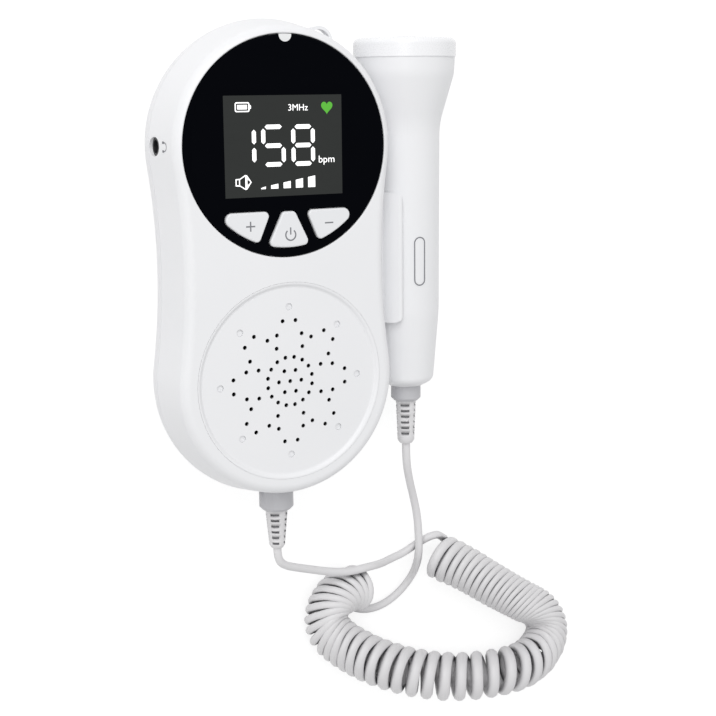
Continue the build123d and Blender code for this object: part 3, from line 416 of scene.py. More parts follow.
@dataclass(frozen=True)
class Laminate(Finish):
    """Glass-epoxy board under green solder mask, with copper tracks that show through as lighter lines."""

    name: str
    mask: str = "0f5a34"
    mask_over_glass: str = "14633b"
    track: str = "2f8a52"
    pitch_mm: float = 2.54
    track_height_mm: float = 0.03
    roughness: float = 0.35

    def dress(self, tree: Tree, shader: Node, spot: Socket) -> None:
        """Draws tracks on the usual 2.54 mm grid.

        Args:
            tree: nodes of the material.
            shader: the shader that the finish sets up.
            spot: place on the piece, in metres.
        """
        tracks = add_node(tree, "ShaderNodeTexBrick", {
            "Scale": 1 / (self.pitch_mm * MM), "Color1": linear(self.mask),
            "Color2": linear(self.mask_over_glass), "Mortar": linear(self.track), "Mortar Size": 0.06,
            "Brick Width": 2.0, "Row Height": 0.5}, {"Vector": spot})
        tree.links.new(tracks.outputs["Color"], shader.inputs["Base Color"])
        bump = add_node(tree, "ShaderNodeBump", {"Strength": 0.4, "Distance": self.track_height_mm * MM},
                        {"Height": tracks.outputs["Fac"]})
        tree.links.new(bump.outputs["Normal"], shader.inputs["Normal"])
        shader.inputs["Roughness"].default_value = self.roughness


@dataclass(frozen=True)
class Woven(Finish):
    """Plain weave of fine threads, as a speaker's dust cloth; the pitch is coarse enough to show."""

    name: str
    colour: str
    gap: str = "050505"
    thread_mm: float = 0.3
    thread_height_mm: float = 0.08
    roughness: float = 0.95

    def dress(self, tree: Tree, shader: Node, spot: Socket) -> None:
        """Crosses two sets of waves for the threads.

        Args:
            tree: nodes of the material.
            shader: the shader that the finish sets up.
            spot: place on the piece, in metres.
        """
        scale = WAVE_HALF_PERIOD / (self.thread_mm * MM)
        waves = [add_node(tree, "ShaderNodeTexWave", {"Scale": scale, "bands_direction": way},
                          {"Vector": spot}) for way in "XY"]
        cross = add_node(tree, "ShaderNodeMath", {"operation": "MULTIPLY"})
        for number, wave in enumerate(waves):
            tree.links.new(wave.outputs["Fac"], cross.inputs[number])
        bump = add_node(tree, "ShaderNodeBump", {"Strength": 0.8, "Distance": self.thread_height_mm * MM},
                        {"Height": cross.outputs["Value"]})
        tree.links.new(bump.outputs["Normal"], shader.inputs["Normal"])
        tone = add_node(tree, "ShaderNodeMix", {
            "data_type": "RGBA", MIX_A: linear(self.gap), MIX_B: linear(self.colour)},
            {"Factor": cross.outputs["Value"]})
        tree.links.new(tone.outputs[MIX_RESULT], shader.inputs["Base Color"])
        shader.inputs["Roughness"].default_value = self.roughness


WHITE_ABS = Moulded("white ABS, spark-textured mould", "eeeef0", "e9eaec", 0.42)
# Near-black painted shade on the walls of the sound holes, standing in for the shadow inside them.
GRILLE_ABS = Moulded("white ABS of the sound plate, painted shade in its holes", "eeeef0", "e9eaec", 0.42, painted_shade="0c0c0e",
                     painted_shade_open=0.42)
WHITE_ABS_POLISHED = Moulded("white ABS, polished mould", "f3f3f5", "eeeff1", 0.28, grain_depth_mm=0.002)
KEY_ABS = Moulded("pale grey ABS of the keys", "e9eaec", "e4e5e8", 0.36, grain_depth_mm=0.003)
SENSOR_RESIN = Moulded("cast epoxy of the sensing face", "e2e3e6", "dadbdf", 0.32, grain_mm=0.6)
COLLAR_ABS = Moulded("grey ABS of the glands", "c4c4c7", "bbbbbf", 0.45)
# Painted shade in the slots of the bend reliefs.
BOOT_TPE = Moulded("soft grey TPE of the bend reliefs, painted shade in its slots", "e2e1e2", "dbdadc", 0.52, grain_mm=0.5, ior=1.5,
                   painted_shade="6e6e72")
# Painted shade, reaching 5 mm, in the gaps between the coil's turns.
CORD_TPU = Moulded("grey TPU jacket of the lead, painted shade between its turns", "e2e1e2", "dbdadc", 0.45, grain_mm=0.8, ior=1.5,
                   painted_shade="56565a", painted_shade_mm=5.0, painted_shade_open=0.68)
LENS_ACRYLIC = PolishedSheet("black-printed acrylic lens", "020307", "030408", 0.05, 1.49, 0.03)
SCREEN_GLASS = PolishedSheet("display glass, backlight low", "303231", "323433", 0.12, 1.5, 0.1)
LIGHT_PIPE = PolishedSheet("milky acrylic light pipe", "eceded", "e2e3e5", 0.2)
WHITE_PIXELS = LitPixels("white pixels", "ffffff", 0.55)
GREEN_PIXELS = LitPixels("green pixels", "4fa52e", 0.35)
GREY_INK = Ink("grey pad-printed ink", "77787d", "828388")
JACK_PBT = Moulded("black PBT of the socket", "17171a", "1e1e22", 0.5)
SWITCH_BLACK = Moulded("black nylon of the switches", "1a1a1c", "222225", 0.5)
PHOSPHOR = Moulded("yellow phosphor of the light", "e8d77a", "dcc865", 0.4, grain_mm=0.1)
ZINC_STEEL = Metal("zinc-plated screw steel", "c4c5c8", "a9aaae", 0.32)
TINNED_STEEL = Metal("tinned steel of the display frame", "c9cacc", "b8b9bc", 0.3)
NICKEL_STRIP = Metal("nickel-plated contact strip", "d6d3ca", "bdb9ae", 0.24)
SILVERED_CERAMIC = Metal("silvered ceramic", "d8d4c8", "c4bfb1", 0.4)
BLACK_STEEL = Metal("black-painted pressed steel", "1b1c1e", "26272a", 0.42, metallic=0.0)
MAGNET_STEEL = Metal("galvanized magnet cup", "b4b5b8", "9a9b9f", 0.36)
CELL_SLEEVE = Metal("printed PVC sleeve of a cell", "2a2d33", "343841", 0.3, (3.0, 0.4, 3.0), 0.0)
SPEAKER_PULP = Woven("pressed paper pulp cone", "242426", thread_mm=0.5)
DUST_CLOTH = Woven("black dust cloth", "1c1c1e")
BOARD_FR4 = Laminate("green FR4 board")


# ---------------------------------------------------------------- carried pieces
def carried(node: str, finish: Finish) -> None:
    """Copies a CAD node with its points merged, so that its curves shade smoothly.

    Args:
        node: name of the CAD node.
        finish: what it is made of.
    """
    shape = bmesh.new()
    shape.from_mesh(frame["nodes"][node].data)
    bmesh.ops.remove_doubles(shape, verts=shape.verts, dist=MERGE_MM * MM)
    bmesh.ops.dissolve_degenerate(shape, edges=shape.edges, dist=MERGE_MM * MM)
    bmesh.ops.dissolve_limit(shape, angle_limit=math.radians(FLAT_DEG), verts=shape.verts, edges=shape.edges)
    mesh = bpy.data.meshes.new(node + "_dressed")
    shape.to_mesh(mesh)
    shape.free()
    smooth(mesh, CREASE_DEG)
    piece = place(node + "_dressed", mesh)
    steady = piece.modifiers.new("steady flats", "WEIGHTED_NORMAL")
    steady.keep_sharp = True
    finish.cover(piece)
    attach(piece, body_of(node))
    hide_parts(node)
    log.info("%s: %d faces", piece.name, len(mesh.polygons))


def keep(node: str, finish: Finish) -> None:
    """Gives a CAD node that stays as it is its finish."""
    finish.cover(frame["nodes"][node])


# ---------------------------------------------------------------- flat marks
@dataclass
class Mark:
    """A flat mark, printed or lit: closed outlines in millimetres, filled even-odd, with a little body."""

    name: str
    finish: Finish
    body: str
    slot: str
    height_mm: float
    thick_mm: float = 0.03
    outlines: list[list[Flat]] = field(default_factory=list)

    def add(self, *points: Flat) -> "Mark":
        """Adds one closed outline."""
        self.outlines.append(list(points))
        return self

    def box(self, left: float, low: float, right: float, top: float) -> "Mark":
        """Adds an upright rectangle."""
        return self.add((left, low), (right, low), (right, top), (left, top))

    def rounded(self, left: float, low: float, right: float, top: float, radius: float) -> None:
        """Adds a rectangle with round corners.

        Args:
            left: its left edge, in millimetres.
            low: its lower edge.
            right: its right edge.
            top: its upper edge.
            radius: radius of its corners.
        """
        corners = ((right, top, 0), (left, top, 90), (left, low, 180), (right, low, 270))
        spots = []
        for x, y, start in corners:
            middle = (x - radius if x == right else x + radius, y - radius if y == top else y + radius)
            spots += arc(middle, radius, [math.radians(start + step) for step in range(0, 91, 15)])
        self.add(*spots)

    def band(self, middle: Flat, radius: float, width: float, start: float, stop: float) -> None:
        """Adds part of a ring.

        Args:
            middle: centre of the ring, in millimetres.
            radius: radius of the middle of its line.
            width: width of its line.
            start: angle where it starts, in degrees.
            stop: angle where it ends.
        """
        steps = 28
        turns = [math.radians(start + (stop - start) * n / steps) for n in range(steps + 1)]
        outer, inner = radius + width / 2, radius - width / 2
        self.add(*arc(middle, outer, turns), *arc(middle, inner, turns[::-1]))

    def curve(self) -> bpy.types.Curve:
        """The outlines as a filled flat curve.

        Returns:
            The curve, in millimetres.
        """
        flat = bpy.data.curves.new(self.name, "CURVE")
        flat.dimensions = "2D"
        flat.fill_mode = "BOTH"
        flat.extrude = self.thick_mm / 2
        for outline in self.outlines:
            spline = flat.splines.new("POLY")
            spline.points.add(len(outline) - 1)
            for point, (x, y) in zip(spline.points, outline):
                point.co = (x, y, 0, 1)
            spline.use_cyclic_u = True
        return flat

    def build(self, matrix: Matrix | None = None) -> Piece:
        """Makes the mark a mesh and lays it on its surface.

        Args:
            matrix: where the drawing's plane goes, in millimetres; flat at the mark's height if left out.

        Returns:
            The finished piece.
        """
        return lay_flat(self, self.curve(), matrix or Matrix.Translation((0, 0, self.height_mm)))


def lay_flat(mark: Mark, drawing: bpy.types.Curve, matrix: Matrix) -> Piece:
    """Turns a flat drawing to a mesh, merges its doubles and puts it in place.

    Args:
        mark: name, finish and body of the piece.
        drawing: curve or lettering, in millimetres.
        matrix: where the drawing's plane goes, in millimetres.

    Returns:
        The finished piece.
    """
    mesh = meshed(drawing)
    shape = bmesh.new()
    shape.from_mesh(mesh)
    bmesh.ops.remove_doubles(shape, verts=shape.verts, dist=MARK_MERGE_MM)
    bmesh.ops.transform(shape, matrix=Matrix.Scale(MM, 4) @ matrix, verts=shape.verts)
    bmesh.ops.recalc_face_normals(shape, faces=shape.faces)
    shape.to_mesh(mesh)
    shape.free()
    piece = place(mark.name, mesh)
    mark.finish.cover(piece)
    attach(piece, mark.body)
    log.info("%s: %d faces", piece.name, len(mesh.polygons))
    return piece


def words(mark: Mark, text: str, left: float, low: float, size: float, squeeze: float) -> None:
    """Sets generic unit lettering of the display.

    Args:
        mark: finish, body and height of the lettering.
        text: what it says.
        left: where its first letter starts, in millimetres.
        low: its base line.
        size: its height setting.
        squeeze: width against the normal width.
    """
    drawing = bpy.data.curves.new(mark.name, "FONT")
    drawing.body = text
    drawing.size = size
    drawing.extrude = mark.thick_mm / 2
    drawing.resolution_u = 4
    matrix = Matrix.Translation((left, low, mark.height_mm)) @ Matrix.Diagonal((squeeze, 1, 1, 1))
    lay_flat(mark, drawing, matrix)


# ---------------------------------------------------------------- housing
@dataclass
class Housing:
    """Both shells with their grille, door and screws, and the socket in the left flank."""

    flank_mm: float = -34.6
    parting_mm: float = 16.5
    lean_deg: float = 10.0
    mark_y_mm: float = 0.6
    mark_z_mm: float = 24.6
    lift_mm: float = 0.01
    bow_mm: float = 1.15
    bow_line_mm: float = 0.22
    cushion_lefts_mm: Flat = (-1.45, 0.85)
    cushion_width_mm: float = 0.6
    cushion_ends_mm: Flat = (-0.95, -0.05)

    def build(self) -> None:
        """Carries the shells over and dresses what they hold."""
        for node in ("front_shell", "rear_shell", "battery_door"):
            carried(node, WHITE_ABS)
        carried("speaker_grille", GRILLE_ABS)
        carried("case_screws", ZINC_STEEL)
        carried("headphone_jack", JACK_PBT)
        self.headphone_mark()

    def headphone_mark(self) -> None:
        """Small headphone symbol above the socket, on the leaning flank."""
        mark = Mark("headphone_symbol", GREY_INK, "housing", "jack_black", 0.0)
        mark.band((0, 0), self.bow_mm, self.bow_line_mm, -10, 190)
        low, top = self.cushion_ends_mm
        for left in self.cushion_lefts_mm:
            mark.box(left, low, left + self.cushion_width_mm, top)
        lean = math.radians(self.lean_deg)
        up = Vector((math.sin(lean), 0, math.cos(lean)))
        across = Vector((0, -1, 0))
        outward = across.cross(up)
        spot = Vector((self.flank_mm, self.mark_y_mm, self.parting_mm))
        spot += up * (self.mark_z_mm - self.parting_mm) / up.z + outward * self.lift_mm
        turn = Matrix((across, up, outward)).transposed().to_4x4()
        mark.build(Matrix.Translation(spot) @ turn)


# ---------------------------------------------------------------- display and keys
class Segment(Enum):
    """The bars of a seven-bar digit."""

    TOP = "top"
    UPPER_LEFT = "upper left"
    UPPER_RIGHT = "upper right"
    MIDDLE = "middle"
    LOWER_LEFT = "lower left"
    LOWER_RIGHT = "lower right"
    BOTTOM = "bottom"


DIGITS: dict[str, tuple[Segment, ...]] = {
    "1": (Segment.UPPER_RIGHT, Segment.LOWER_RIGHT),
    "5": (Segment.TOP, Segment.UPPER_LEFT, Segment.MIDDLE, Segment.LOWER_RIGHT, Segment.BOTTOM),
    "8": tuple(Segment),
}


@dataclass
class Display:
    """Lens, light pipe, and what the lit display shows through the lens.

    A box is the left, lower, right and upper edge of a mark, in millimetres.
    """

    window: Box = (-18.4, -13.3, 16.7, 13.8)
    figures: dict[str, Box] = field(default_factory=lambda: {
        "1": (-16.25, -5.0, -9.15, 5.8), "5": (-7.6, -5.25, -0.45, 6.0), "8": (1.3, -5.3, 8.4, 5.9)})
    bar_mm: float = 1.2
    gap_mm: float = 0.45
    battery_case: Box = (-15.1, 9.45, -10.85, 12.05)
    battery_wall_mm: float = 0.32
    battery_charge_mm: float = 0.7
    heart_mm: Flat = (12.2, 10.45)
    heart_scale_mm: Flat = (0.108, 0.118)
    heart_points: int = 40
    loudness_bars: int = 5
    loudness_low_mm: float = -11.2

    def build(self) -> None:
        """Dresses the lens and draws the marks."""
        carried("lens_panel", LENS_ACRYLIC)
        carried("indicator_light_pipe", LIGHT_PIPE)
        self.mark("display_window", SCREEN_GLASS, 0.0).box(*self.window).build()
        self.reading()
        self.battery()
        self.heart()
        self.loudness()
        words(self.mark("unit_label", WHITE_PIXELS), "bpm", left=9.35, low=-4.6, size=2.75, squeeze=1.06)
        words(self.mark("frequency_label", WHITE_PIXELS), "3MHz", left=0.4, low=9.62, size=2.5, squeeze=1.0)

    def mark(self, name: str, finish: Finish, lift: float = 0.03) -> Mark:
        """A mark on the front of the lens."""
        return Mark(name, finish, "housing", "display_dark", FRONT_Z + lift)

    def bar(self, mark: Mark, start: Flat, stop: Flat) -> None:
        """Adds a digit's bar with its ends cut to a point.

        Args:
            mark: mark that gets the bar.
            start: where the bar's middle line starts, in millimetres.
            stop: where it ends.
        """
        run = Vector(stop) - Vector(start)
        way = run.normalized()
        side = Vector((-way.y, way.x)) * self.bar_mm / 2
        near = Vector(start) + way * self.gap_mm
        far = Vector(stop) - way * self.gap_mm
        tip = way * self.bar_mm / 2
        spots = (near, near + tip + side, far - tip + side, far, far - tip - side, near + tip - side)
        mark.add(*[(p.x, p.y) for p in spots])

    def digit(self, mark: Mark, figure: str, box: Box) -> None:
        """Adds the bars of one digit inside its box.

        Args:
            mark: mark that gets the digit.
            figure: which digit it is.
            box: its left, lower, right and upper edge.
        """
        left, low, right, top = box
        half = self.bar_mm / 2
        x0, x1, y0, y2 = left + half, right - half, low + half, top - half
        y1 = (y0 + y2) / 2
        ends = {
            Segment.TOP: ((x0, y2), (x1, y2)), Segment.MIDDLE: ((x0, y1), (x1, y1)),
            Segment.BOTTOM: ((x0, y0), (x1, y0)), Segment.UPPER_LEFT: ((x0, y1), (x0, y2)),
            Segment.UPPER_RIGHT: ((x1, y1), (x1, y2)), Segment.LOWER_LEFT: ((x0, y0), (x0, y1)),
            Segment.LOWER_RIGHT: ((x1, y0), (x1, y1)),
        }
        for segment in DIGITS[figure]:
            self.bar(mark, *ends[segment])

    def reading(self) -> None:
        """The heart rate in three figures."""
        mark = self.mark("heart_rate_figures", WHITE_PIXELS)
        for figure, box in self.figures.items():
            self.digit(mark, figure, box)
        mark.build()

    def battery(self) -> None:
        """Battery symbol, full: its case as a line, its charge inside and the cap at its end."""
        mark = self.mark("battery_symbol", WHITE_PIXELS)
        left, low, right, top = self.battery_case
        for inset, radius in ((0.0, 0.5), (self.battery_wall_mm, 0.3)):
            mark.rounded(left + inset, low + inset, right - inset, top - inset, radius)
        inset = self.battery_charge_mm
        mark.box(left + inset, low + inset, right - inset, top - inset)
        gap, reach, root, tip = 0.02, 0.45, 0.65, 0.35
        middle, near, far = (low + top) / 2, right + gap, right + reach
        mark.add((near, middle - root), (far, middle - tip), (far, middle + tip), (near, middle + root))
        mark.build()

    def heart(self) -> None:
        """Green heart, drawn by the usual heart curve."""
        mark = self.mark("heart_symbol", GREEN_PIXELS)
        (x, y), (wide, high) = self.heart_mm, self.heart_scale_mm
        turns = [2 * math.pi * n / self.heart_points for n in range(self.heart_points)]
        mark.add(*[(x + wide * 16 * math.sin(a) ** 3,
                    y + high * (13 * math.cos(a) - 5 * math.cos(2 * a) - 2 * math.cos(3 * a)
                                - math.cos(4 * a))) for a in turns])
        mark.build()

    def loudness(self) -> None:
        """Speaker symbol, its outline with three openings, and its row of growing bars."""
        mark = self.mark("loudness_symbol", WHITE_PIXELS)
        mark.add((-15.4, -10.15), (-14.1, -10.25), (-12.6, -11.2), (-12.05, -11.1), (-10.7, -9.2),
                 (-12.05, -7.3), (-12.6, -7.2), (-14.1, -8.15), (-15.4, -8.25))
        mark.box(-15.1, -9.85, -14.4, -8.5)
        mark.add((-14.1, -9.95), (-12.55, -10.85), (-12.55, -7.55), (-14.1, -8.45))
        mark.add((-11.95, -10.0), (-11.15, -9.4), (-11.15, -9.0), (-11.95, -8.4))
        low, first_left, first_right, first_high = self.loudness_low_mm, -7.95, -6.56, -10.88
        step, width, rise, slant = 3.72, 2.16, 0.61, 0.38
        for n in range(self.loudness_bars):
            right, high = first_right + step * n, first_high + rise * n
            left = max(right - width, first_left)
            mark.add((left, low), (right, low), (right, high + slant), (left, high))
        mark.build()


@dataclass
class Keys:
    """The three keys and the symbol on each."""

    stroke_mm: float = 0.4
    plus_mm: Flat = (-11.6, -21.1)
    plus_reach_mm: float = 1.35
    minus_ends_mm: Flat = (10.8, 13.4)
    minus_y_mm: float = -21.2
    power_mm: Flat = (0.3, -23.95)
    power_ring_mm: float = 1.5
    power_ring_deg: Flat = (130.0, 410.0)
    power_bar_mm: Flat = (-23.9, -21.9)

    def build(self) -> None:
        """Carries the keys over and prints their symbols."""
        for node in ("plus_key", "power_key", "minus_key"):
            carried(node, KEY_ABS)
        half, reach = self.stroke_mm / 2, self.plus_reach_mm
        (x, y), (left, right) = self.plus_mm, self.minus_ends_mm
        plus = self.mark("plus_symbol", "plus_key")
        plus.add((x - half, y - reach), (x + half, y - reach), (x + half, y - half), (x + reach, y - half),
                 (x + reach, y + half), (x + half, y + half), (x + half, y + reach), (x - half, y + reach),
                 (x - half, y + half), (x - reach, y + half), (x - reach, y - half), (x - half, y - half))
        plus.build()
        minus = self.mark("minus_symbol", "minus_key")
        minus.box(left, self.minus_y_mm - half, right, self.minus_y_mm + half).build()
        power, (low, top) = self.mark("power_symbol", "power_key"), self.power_bar_mm
        power.band(self.power_mm, self.power_ring_mm, self.stroke_mm, *self.power_ring_deg)
        power.box(self.power_mm[0] - half, low, self.power_mm[0] + half, top)
        power.build()

    def mark(self, name: str, body: str) -> Mark:
        """A mark on the top of a key."""
        return Mark(name, GREY_INK, body, "key_grey", KEY_TOP_Z, 0.02)


# ---------------------------------------------------------------- inside pieces
@dataclass
class Inside:
    """What the housing holds, as far as the sound holes and the open battery bay show it."""

    finishes: dict[str, Finish] = field(default_factory=lambda: {
        "display_screen": SCREEN_GLASS, "display_frame": TINNED_STEEL, "main_board": BOARD_FR4,
        "tact_switches": SWITCH_BLACK, "status_led": PHOSPHOR, "speaker_cloth": DUST_CLOTH,
        "speaker_frame": BLACK_STEEL, "speaker_cone": SPEAKER_PULP, "speaker_magnet": MAGNET_STEEL,
        "battery_cell_left": CELL_SLEEVE, "battery_cell_right": CELL_SLEEVE, "battery_plates": NICKEL_STRIP,
        "battery_leaf_springs": NICKEL_STRIP, "transducer_crystals": SILVERED_CERAMIC,
        "probe_board": BOARD_FR4})

    def build(self) -> None:
        """Gives each piece its finish."""
        for node, finish in self.finishes.items():
            keep(node, finish)
        log.info("inside: %d pieces", len(self.finishes))


# ---------------------------------------------------------------- probe
@dataclass
class Probe:
    """The hand-held probe and the rating frame printed on its handle."""

    mark_high_mm: float = -27.5
    mark_low_mm: float = -41.9
    mark_width_mm: float = 3.5
    mark_line_mm: float = 0.32
    mark_shift_mm: float = -0.8
    mark_lift_mm: float = 0.15

    def build(self) -> None:
        """Carries the probe over and prints its mark."""
        carried("probe_body", WHITE_ABS)
        carried("probe_cap", WHITE_ABS_POLISHED)
        carried("transducer_face", SENSOR_RESIN)
        self.rating_frame()

    def rating_frame(self) -> None:
        """Empty rounded frame along the handle, bent to its round."""
        mark = Mark("rating_frame", GREY_INK, "probe", "housing_white", 0.0)
        for inset in (0.0, self.mark_line_mm):
            half = self.mark_width_mm / 2 - inset
            turns = [math.radians(angle) for angle in range(0, 181, 12)]
            top = self.mark_high_mm - inset - half
            low = self.mark_low_mm + inset + half
            mark.add(*arc((0.0, top), half, turns), *arc((0.0, low), -half, turns))
        piece = mark.build(Matrix.Translation((HANDLE_AXIS[0] + self.mark_shift_mm, 0, 0)))
        shape = bmesh.new()
        shape.from_mesh(piece.data)
        bmesh.ops.subdivide_edges(shape, edges=[e for e in shape.edges if e.calc_length() > MM], cuts=6)
        for vert in shape.verts:
            turn = (vert.co.x - HANDLE_AXIS[0] * MM) / (HANDLE_R * MM)
            reach = (HANDLE_R + self.mark_lift_mm) * MM + vert.co.z
            vert.co.x = HANDLE_AXIS[0] * MM + reach * math.sin(turn)
            vert.co.z = HANDLE_AXIS[1] * MM + reach * math.cos(turn)
        shape.to_mesh(piece.data)
        shape.free()


# ---------------------------------------------------------------- lead
# Centreline of the lead, in millimetres: the tail from the housing up to the coil, the middle of
# the coil as it lies on the table, and the tail from the probe up to the coil's end.
UNIT_TAIL = [
    (0.0, -116.9, 18.2), (0.0, -120.5, 18.2), (2.4, -123.2, 17.4), (6.8, -125.0, 16.0),
    (12.6, -127.1, 14.4), (19.0, -129.3, 13.0), (26.6, -131.0, 12.2), (34.2, -130.5, 12.0),
    (39.6, -131.4, 9.0), (44.8, -131.2, 6.5), (49.4, -130.3, 6.0), (53.5, -127.6, 7.2),
    (57.0, -125.4, 8.8), (60.0, -125.0, 9.0), (61.8, -126.0, 7.9),
]
PROBE_TAIL = [
    (45.3, -91.5, 15.2), (45.3, -97.2, 15.2), (47.3, -103.6, 13.4), (50.0, -110.0, 11.2),
    (52.0, -116.6, 10.2), (52.5, -122.6, 10.3), (52.6, -129.3, 10.4), (53.6, -134.9, 7.0),
    (53.9, -140.0, 3.0), (50.6, -144.9, 1.4), (44.8, -148.2, 1.4), (38.5, -149.0, 1.4),
    (33.0, -147.2, 1.4), (30.6, -144.2, 1.3), (30.2, -141.2, 1.25),
]
COIL_ROUTE = [
    (60.4, -132.3), (70.2, -137.7), (80.5, -145.1), (92.0, -152.7), (102.9, -159.4), (105.5, -168.6),
    (97.1, -177.0), (81.4, -177.3), (65.7, -175.2), (49.6, -170.0), (35.0, -162.6), (22.4, -152.7),
    (21.2, -144.3), (27.1, -138.0), (32.0, -138.6),
]


@dataclass(frozen=True)
class Winding:
    """How the cord is wound at one share of the coil's length.

    The lean is how far the top of a turn lies ahead of its sides, and the sway how far its side on the
    outside of the bends lies ahead of its top, both against the turn's radius.
    """

    share: float
    pitch_mm: float
    width_mm: float
    lean: float
    sway: float


WINDINGS = [Winding(*row) for row in (
    (0.00, 4.0, 2.6, -1.1, 0.0), (0.03, 3.8, 3.3, -1.1, 0.0), (0.07, 3.2, 2.9, -1.1, 0.0),
    (0.11, 2.9, 2.7, -1.15, 0.05), (0.16, 2.7, 2.6, -1.15, 0.1), (0.20, 2.2, 2.3, -1.1, 0.2),
    (0.24, 1.95, 2.2, -1.0, 0.4), (0.33, 1.95, 2.3, -0.75, 0.8), (0.36, 2.2, 2.7, -0.6, 0.8),
    (0.39, 2.8, 3.2, -0.4, 0.6), (0.42, 3.8, 3.6, -0.15, 0.3), (0.46, 5.2, 4.0, 0.2, 0.0),
    (0.52, 6.0, 4.1, 0.5, -0.3), (0.60, 6.0, 4.1, 0.68, -0.35), (0.66, 5.6, 4.0, 0.8, -0.3),
    (0.72, 4.9, 3.8, 1.05, -0.3), (0.78, 4.2, 3.5, 1.25, -0.3), (0.83, 3.4, 3.1, 1.25, -0.35),
    (0.88, 2.5, 2.7, 1.05, -0.35), (0.91, 2.0, 2.6, 0.85, -0.25), (0.94, 1.8, 2.5, 0.6, -0.1),
    (0.97, 1.8, 2.5, 0.6, -0.05), (1.00, 2.4, 2.5, 0.4, 0.0))]


@dataclass
class CurlyLead:
    """Glands, bend reliefs and the lead with its coiled middle."""

    cord_mm: float = 2.5
    reach_mm: float = 5.95
    least_room: float = 0.62
    start_deg: float = 180.0
    stop_deg: float = 270.0
    steps: int = 28
    crease_deg: float = 50.0

    def build(self) -> None:
        """Makes the glands, the reliefs and the lead in two stretches."""
        for node in ("unit_collar", "probe_collar"):
            carried(node, COLLAR_ABS)
        for node in ("unit_boot", "probe_boot"):
            carried(node, BOOT_TPE)
        turns, widths = self.turns(self.line([(x, y, 0.0) for x, y in COIL_ROUTE], resolution=24))
        near = self.line([*UNIT_TAIL, tuple(turns[0])])[:-1]
        plain_widths = [self.cord_mm] * len(near)
        coiled = self.tube("lead_with_coil", near + turns, plain_widths + widths,
                           "cord_tail_unit", "cord_coil")
        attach(coiled, "housing")
        far = self.line([*PROBE_TAIL, tuple(turns[-1])])
        tail = self.tube("lead_to_probe", far, [self.cord_mm] * len(far), "cord_tail_probe")
        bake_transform(tail)

    def line(self, points: list[Spot], resolution: int = 12) -> list[Vector]:
        """Smooth line along a route.

        Args:
            points: control points in millimetres.
            resolution: samples between two of them.

        Returns:
            Points of the route's spline, in millimetres.
        """
        route = bpy.data.curves.new("route", "CURVE")
        route.dimensions = "3D"
        route.resolution_u = resolution
        spline = route.splines.new("NURBS")
        spline.points.add(len(points) - 1)
        for point, spot in zip(spline.points, points):
            point.co = (*spot, 1)
        spline.order_u = 3
        spline.use_endpoint_u = True
        return [vert.co.copy() for vert in meshed(route).vertices]

    def winding(self, share: float) -> Winding:
        """How the cord is wound at a place of the coil, between the two rows next to it.

        Args:
            share: share of the coil's length, from 0 to 1.

        Returns:
            The winding at that place.
        """
        after = next(row for row in WINDINGS if row.share >= share)
        before = WINDINGS[max(WINDINGS.index(after) - 1, 0)]
        part = (share - before.share) / max(after.share - before.share, 0.01)
        part = part * part * (3 - 2 * part)
        return Winding(share, before.pitch_mm + (after.pitch_mm - before.pitch_mm) * part,
                       before.width_mm + (after.width_mm - before.width_mm) * part,
                       before.lean + (after.lean - before.lean) * part,
                       before.sway + (after.sway - before.sway) * part)

    def turns(self, middle: list[Vector]) -> tuple[list[Vector], list[float]]:
        """Winds the cord round the coil's middle line, with its turns leaning as far as they have room.

        Args:
            middle: points of the middle line, on the table.

        Returns:
            Points of the cord's own centreline, and the cord's width at each.
        """
        travelled = [0.0]
        for a, b in zip(middle, middle[1:]):
            travelled.append(travelled[-1] + (b - a).length)
        total = travelled[-1]
        # The pitches are stretched a little, so that the last turn ends at its angle.
        samples = 400
        count = sum(total / samples / self.winding((n + 0.5) / samples).pitch_mm for n in range(samples))
        part = ((self.stop_deg - self.start_deg) % 360) / 360
        stretch = count / (round(count - part) + part)
        up = Vector((0, 0, 1))
        spots, widths, angle, gone, index = [], [], math.radians(self.start_deg), 0.0, 0
        while gone < total:
            while index < len(middle) - 2 and travelled[index + 1] < gone:
                index += 1
            share = (gone - travelled[index]) / (travelled[index + 1] - travelled[index])
            here = middle[index].lerp(middle[index + 1], share)
            along = (middle[min(index + 2, len(middle) - 1)] - middle[max(index - 1, 0)]).normalized()
            wound = self.winding(gone / total)
            # Neighbours that lean or sway come nearer to each other, and this is as far as they may.
            room = math.tan(math.acos(min(self.least_room * wound.width_mm / wound.pitch_mm, 1.0)))
            held = min(1.0, room / max(math.hypot(wound.lean, wound.sway), 0.01))
            rise = up + along * wound.lean * held
            inward = along.cross(up) - along * wound.sway * held
            ring = inward * math.cos(angle) + rise * math.sin(angle)
            spots.append(here + up * (self.reach_mm + wound.width_mm / 2) + self.reach_mm * ring)
            widths.append(wound.width_mm)
            angle += 2 * math.pi / self.steps
            gone += stretch * wound.pitch_mm / self.steps
        log.info("coil: %.1f turns on %.0f mm", (angle - math.radians(self.start_deg)) / 2 / math.pi, total)
        return spots, widths

    def tube(self, name: str, spots: list[Vector], widths: list[float], *nodes: str) -> Piece:
        """Round cord along close points, as a mesh that stands for some CAD nodes.

        Args:
            name: name of the piece.
            spots: its centreline in millimetres.
            widths: its width at each of these.
            nodes: CAD nodes that it stands for.

        Returns:
            The finished piece.
        """
        skin = bpy.data.curves.new(name, "CURVE")
        skin.dimensions = "3D"
        skin.bevel_depth = self.cord_mm / 2
        skin.bevel_resolution = 3
        skin.use_fill_caps = True
        spline = skin.splines.new("POLY")
        spline.points.add(len(spots) - 1)
        for point, spot, width in zip(spline.points, spots, widths):
            point.co = (*spot, 1)
            point.radius = width / self.cord_mm
        mesh = meshed(skin)
        mesh.transform(Matrix.Scale(MM, 4))
        smooth(mesh, self.crease_deg)
        piece = place(name, mesh)
        CORD_TPU.cover(piece)
        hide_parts(*nodes)
        log.info("%s: %d faces", name, len(mesh.polygons))
        return piece


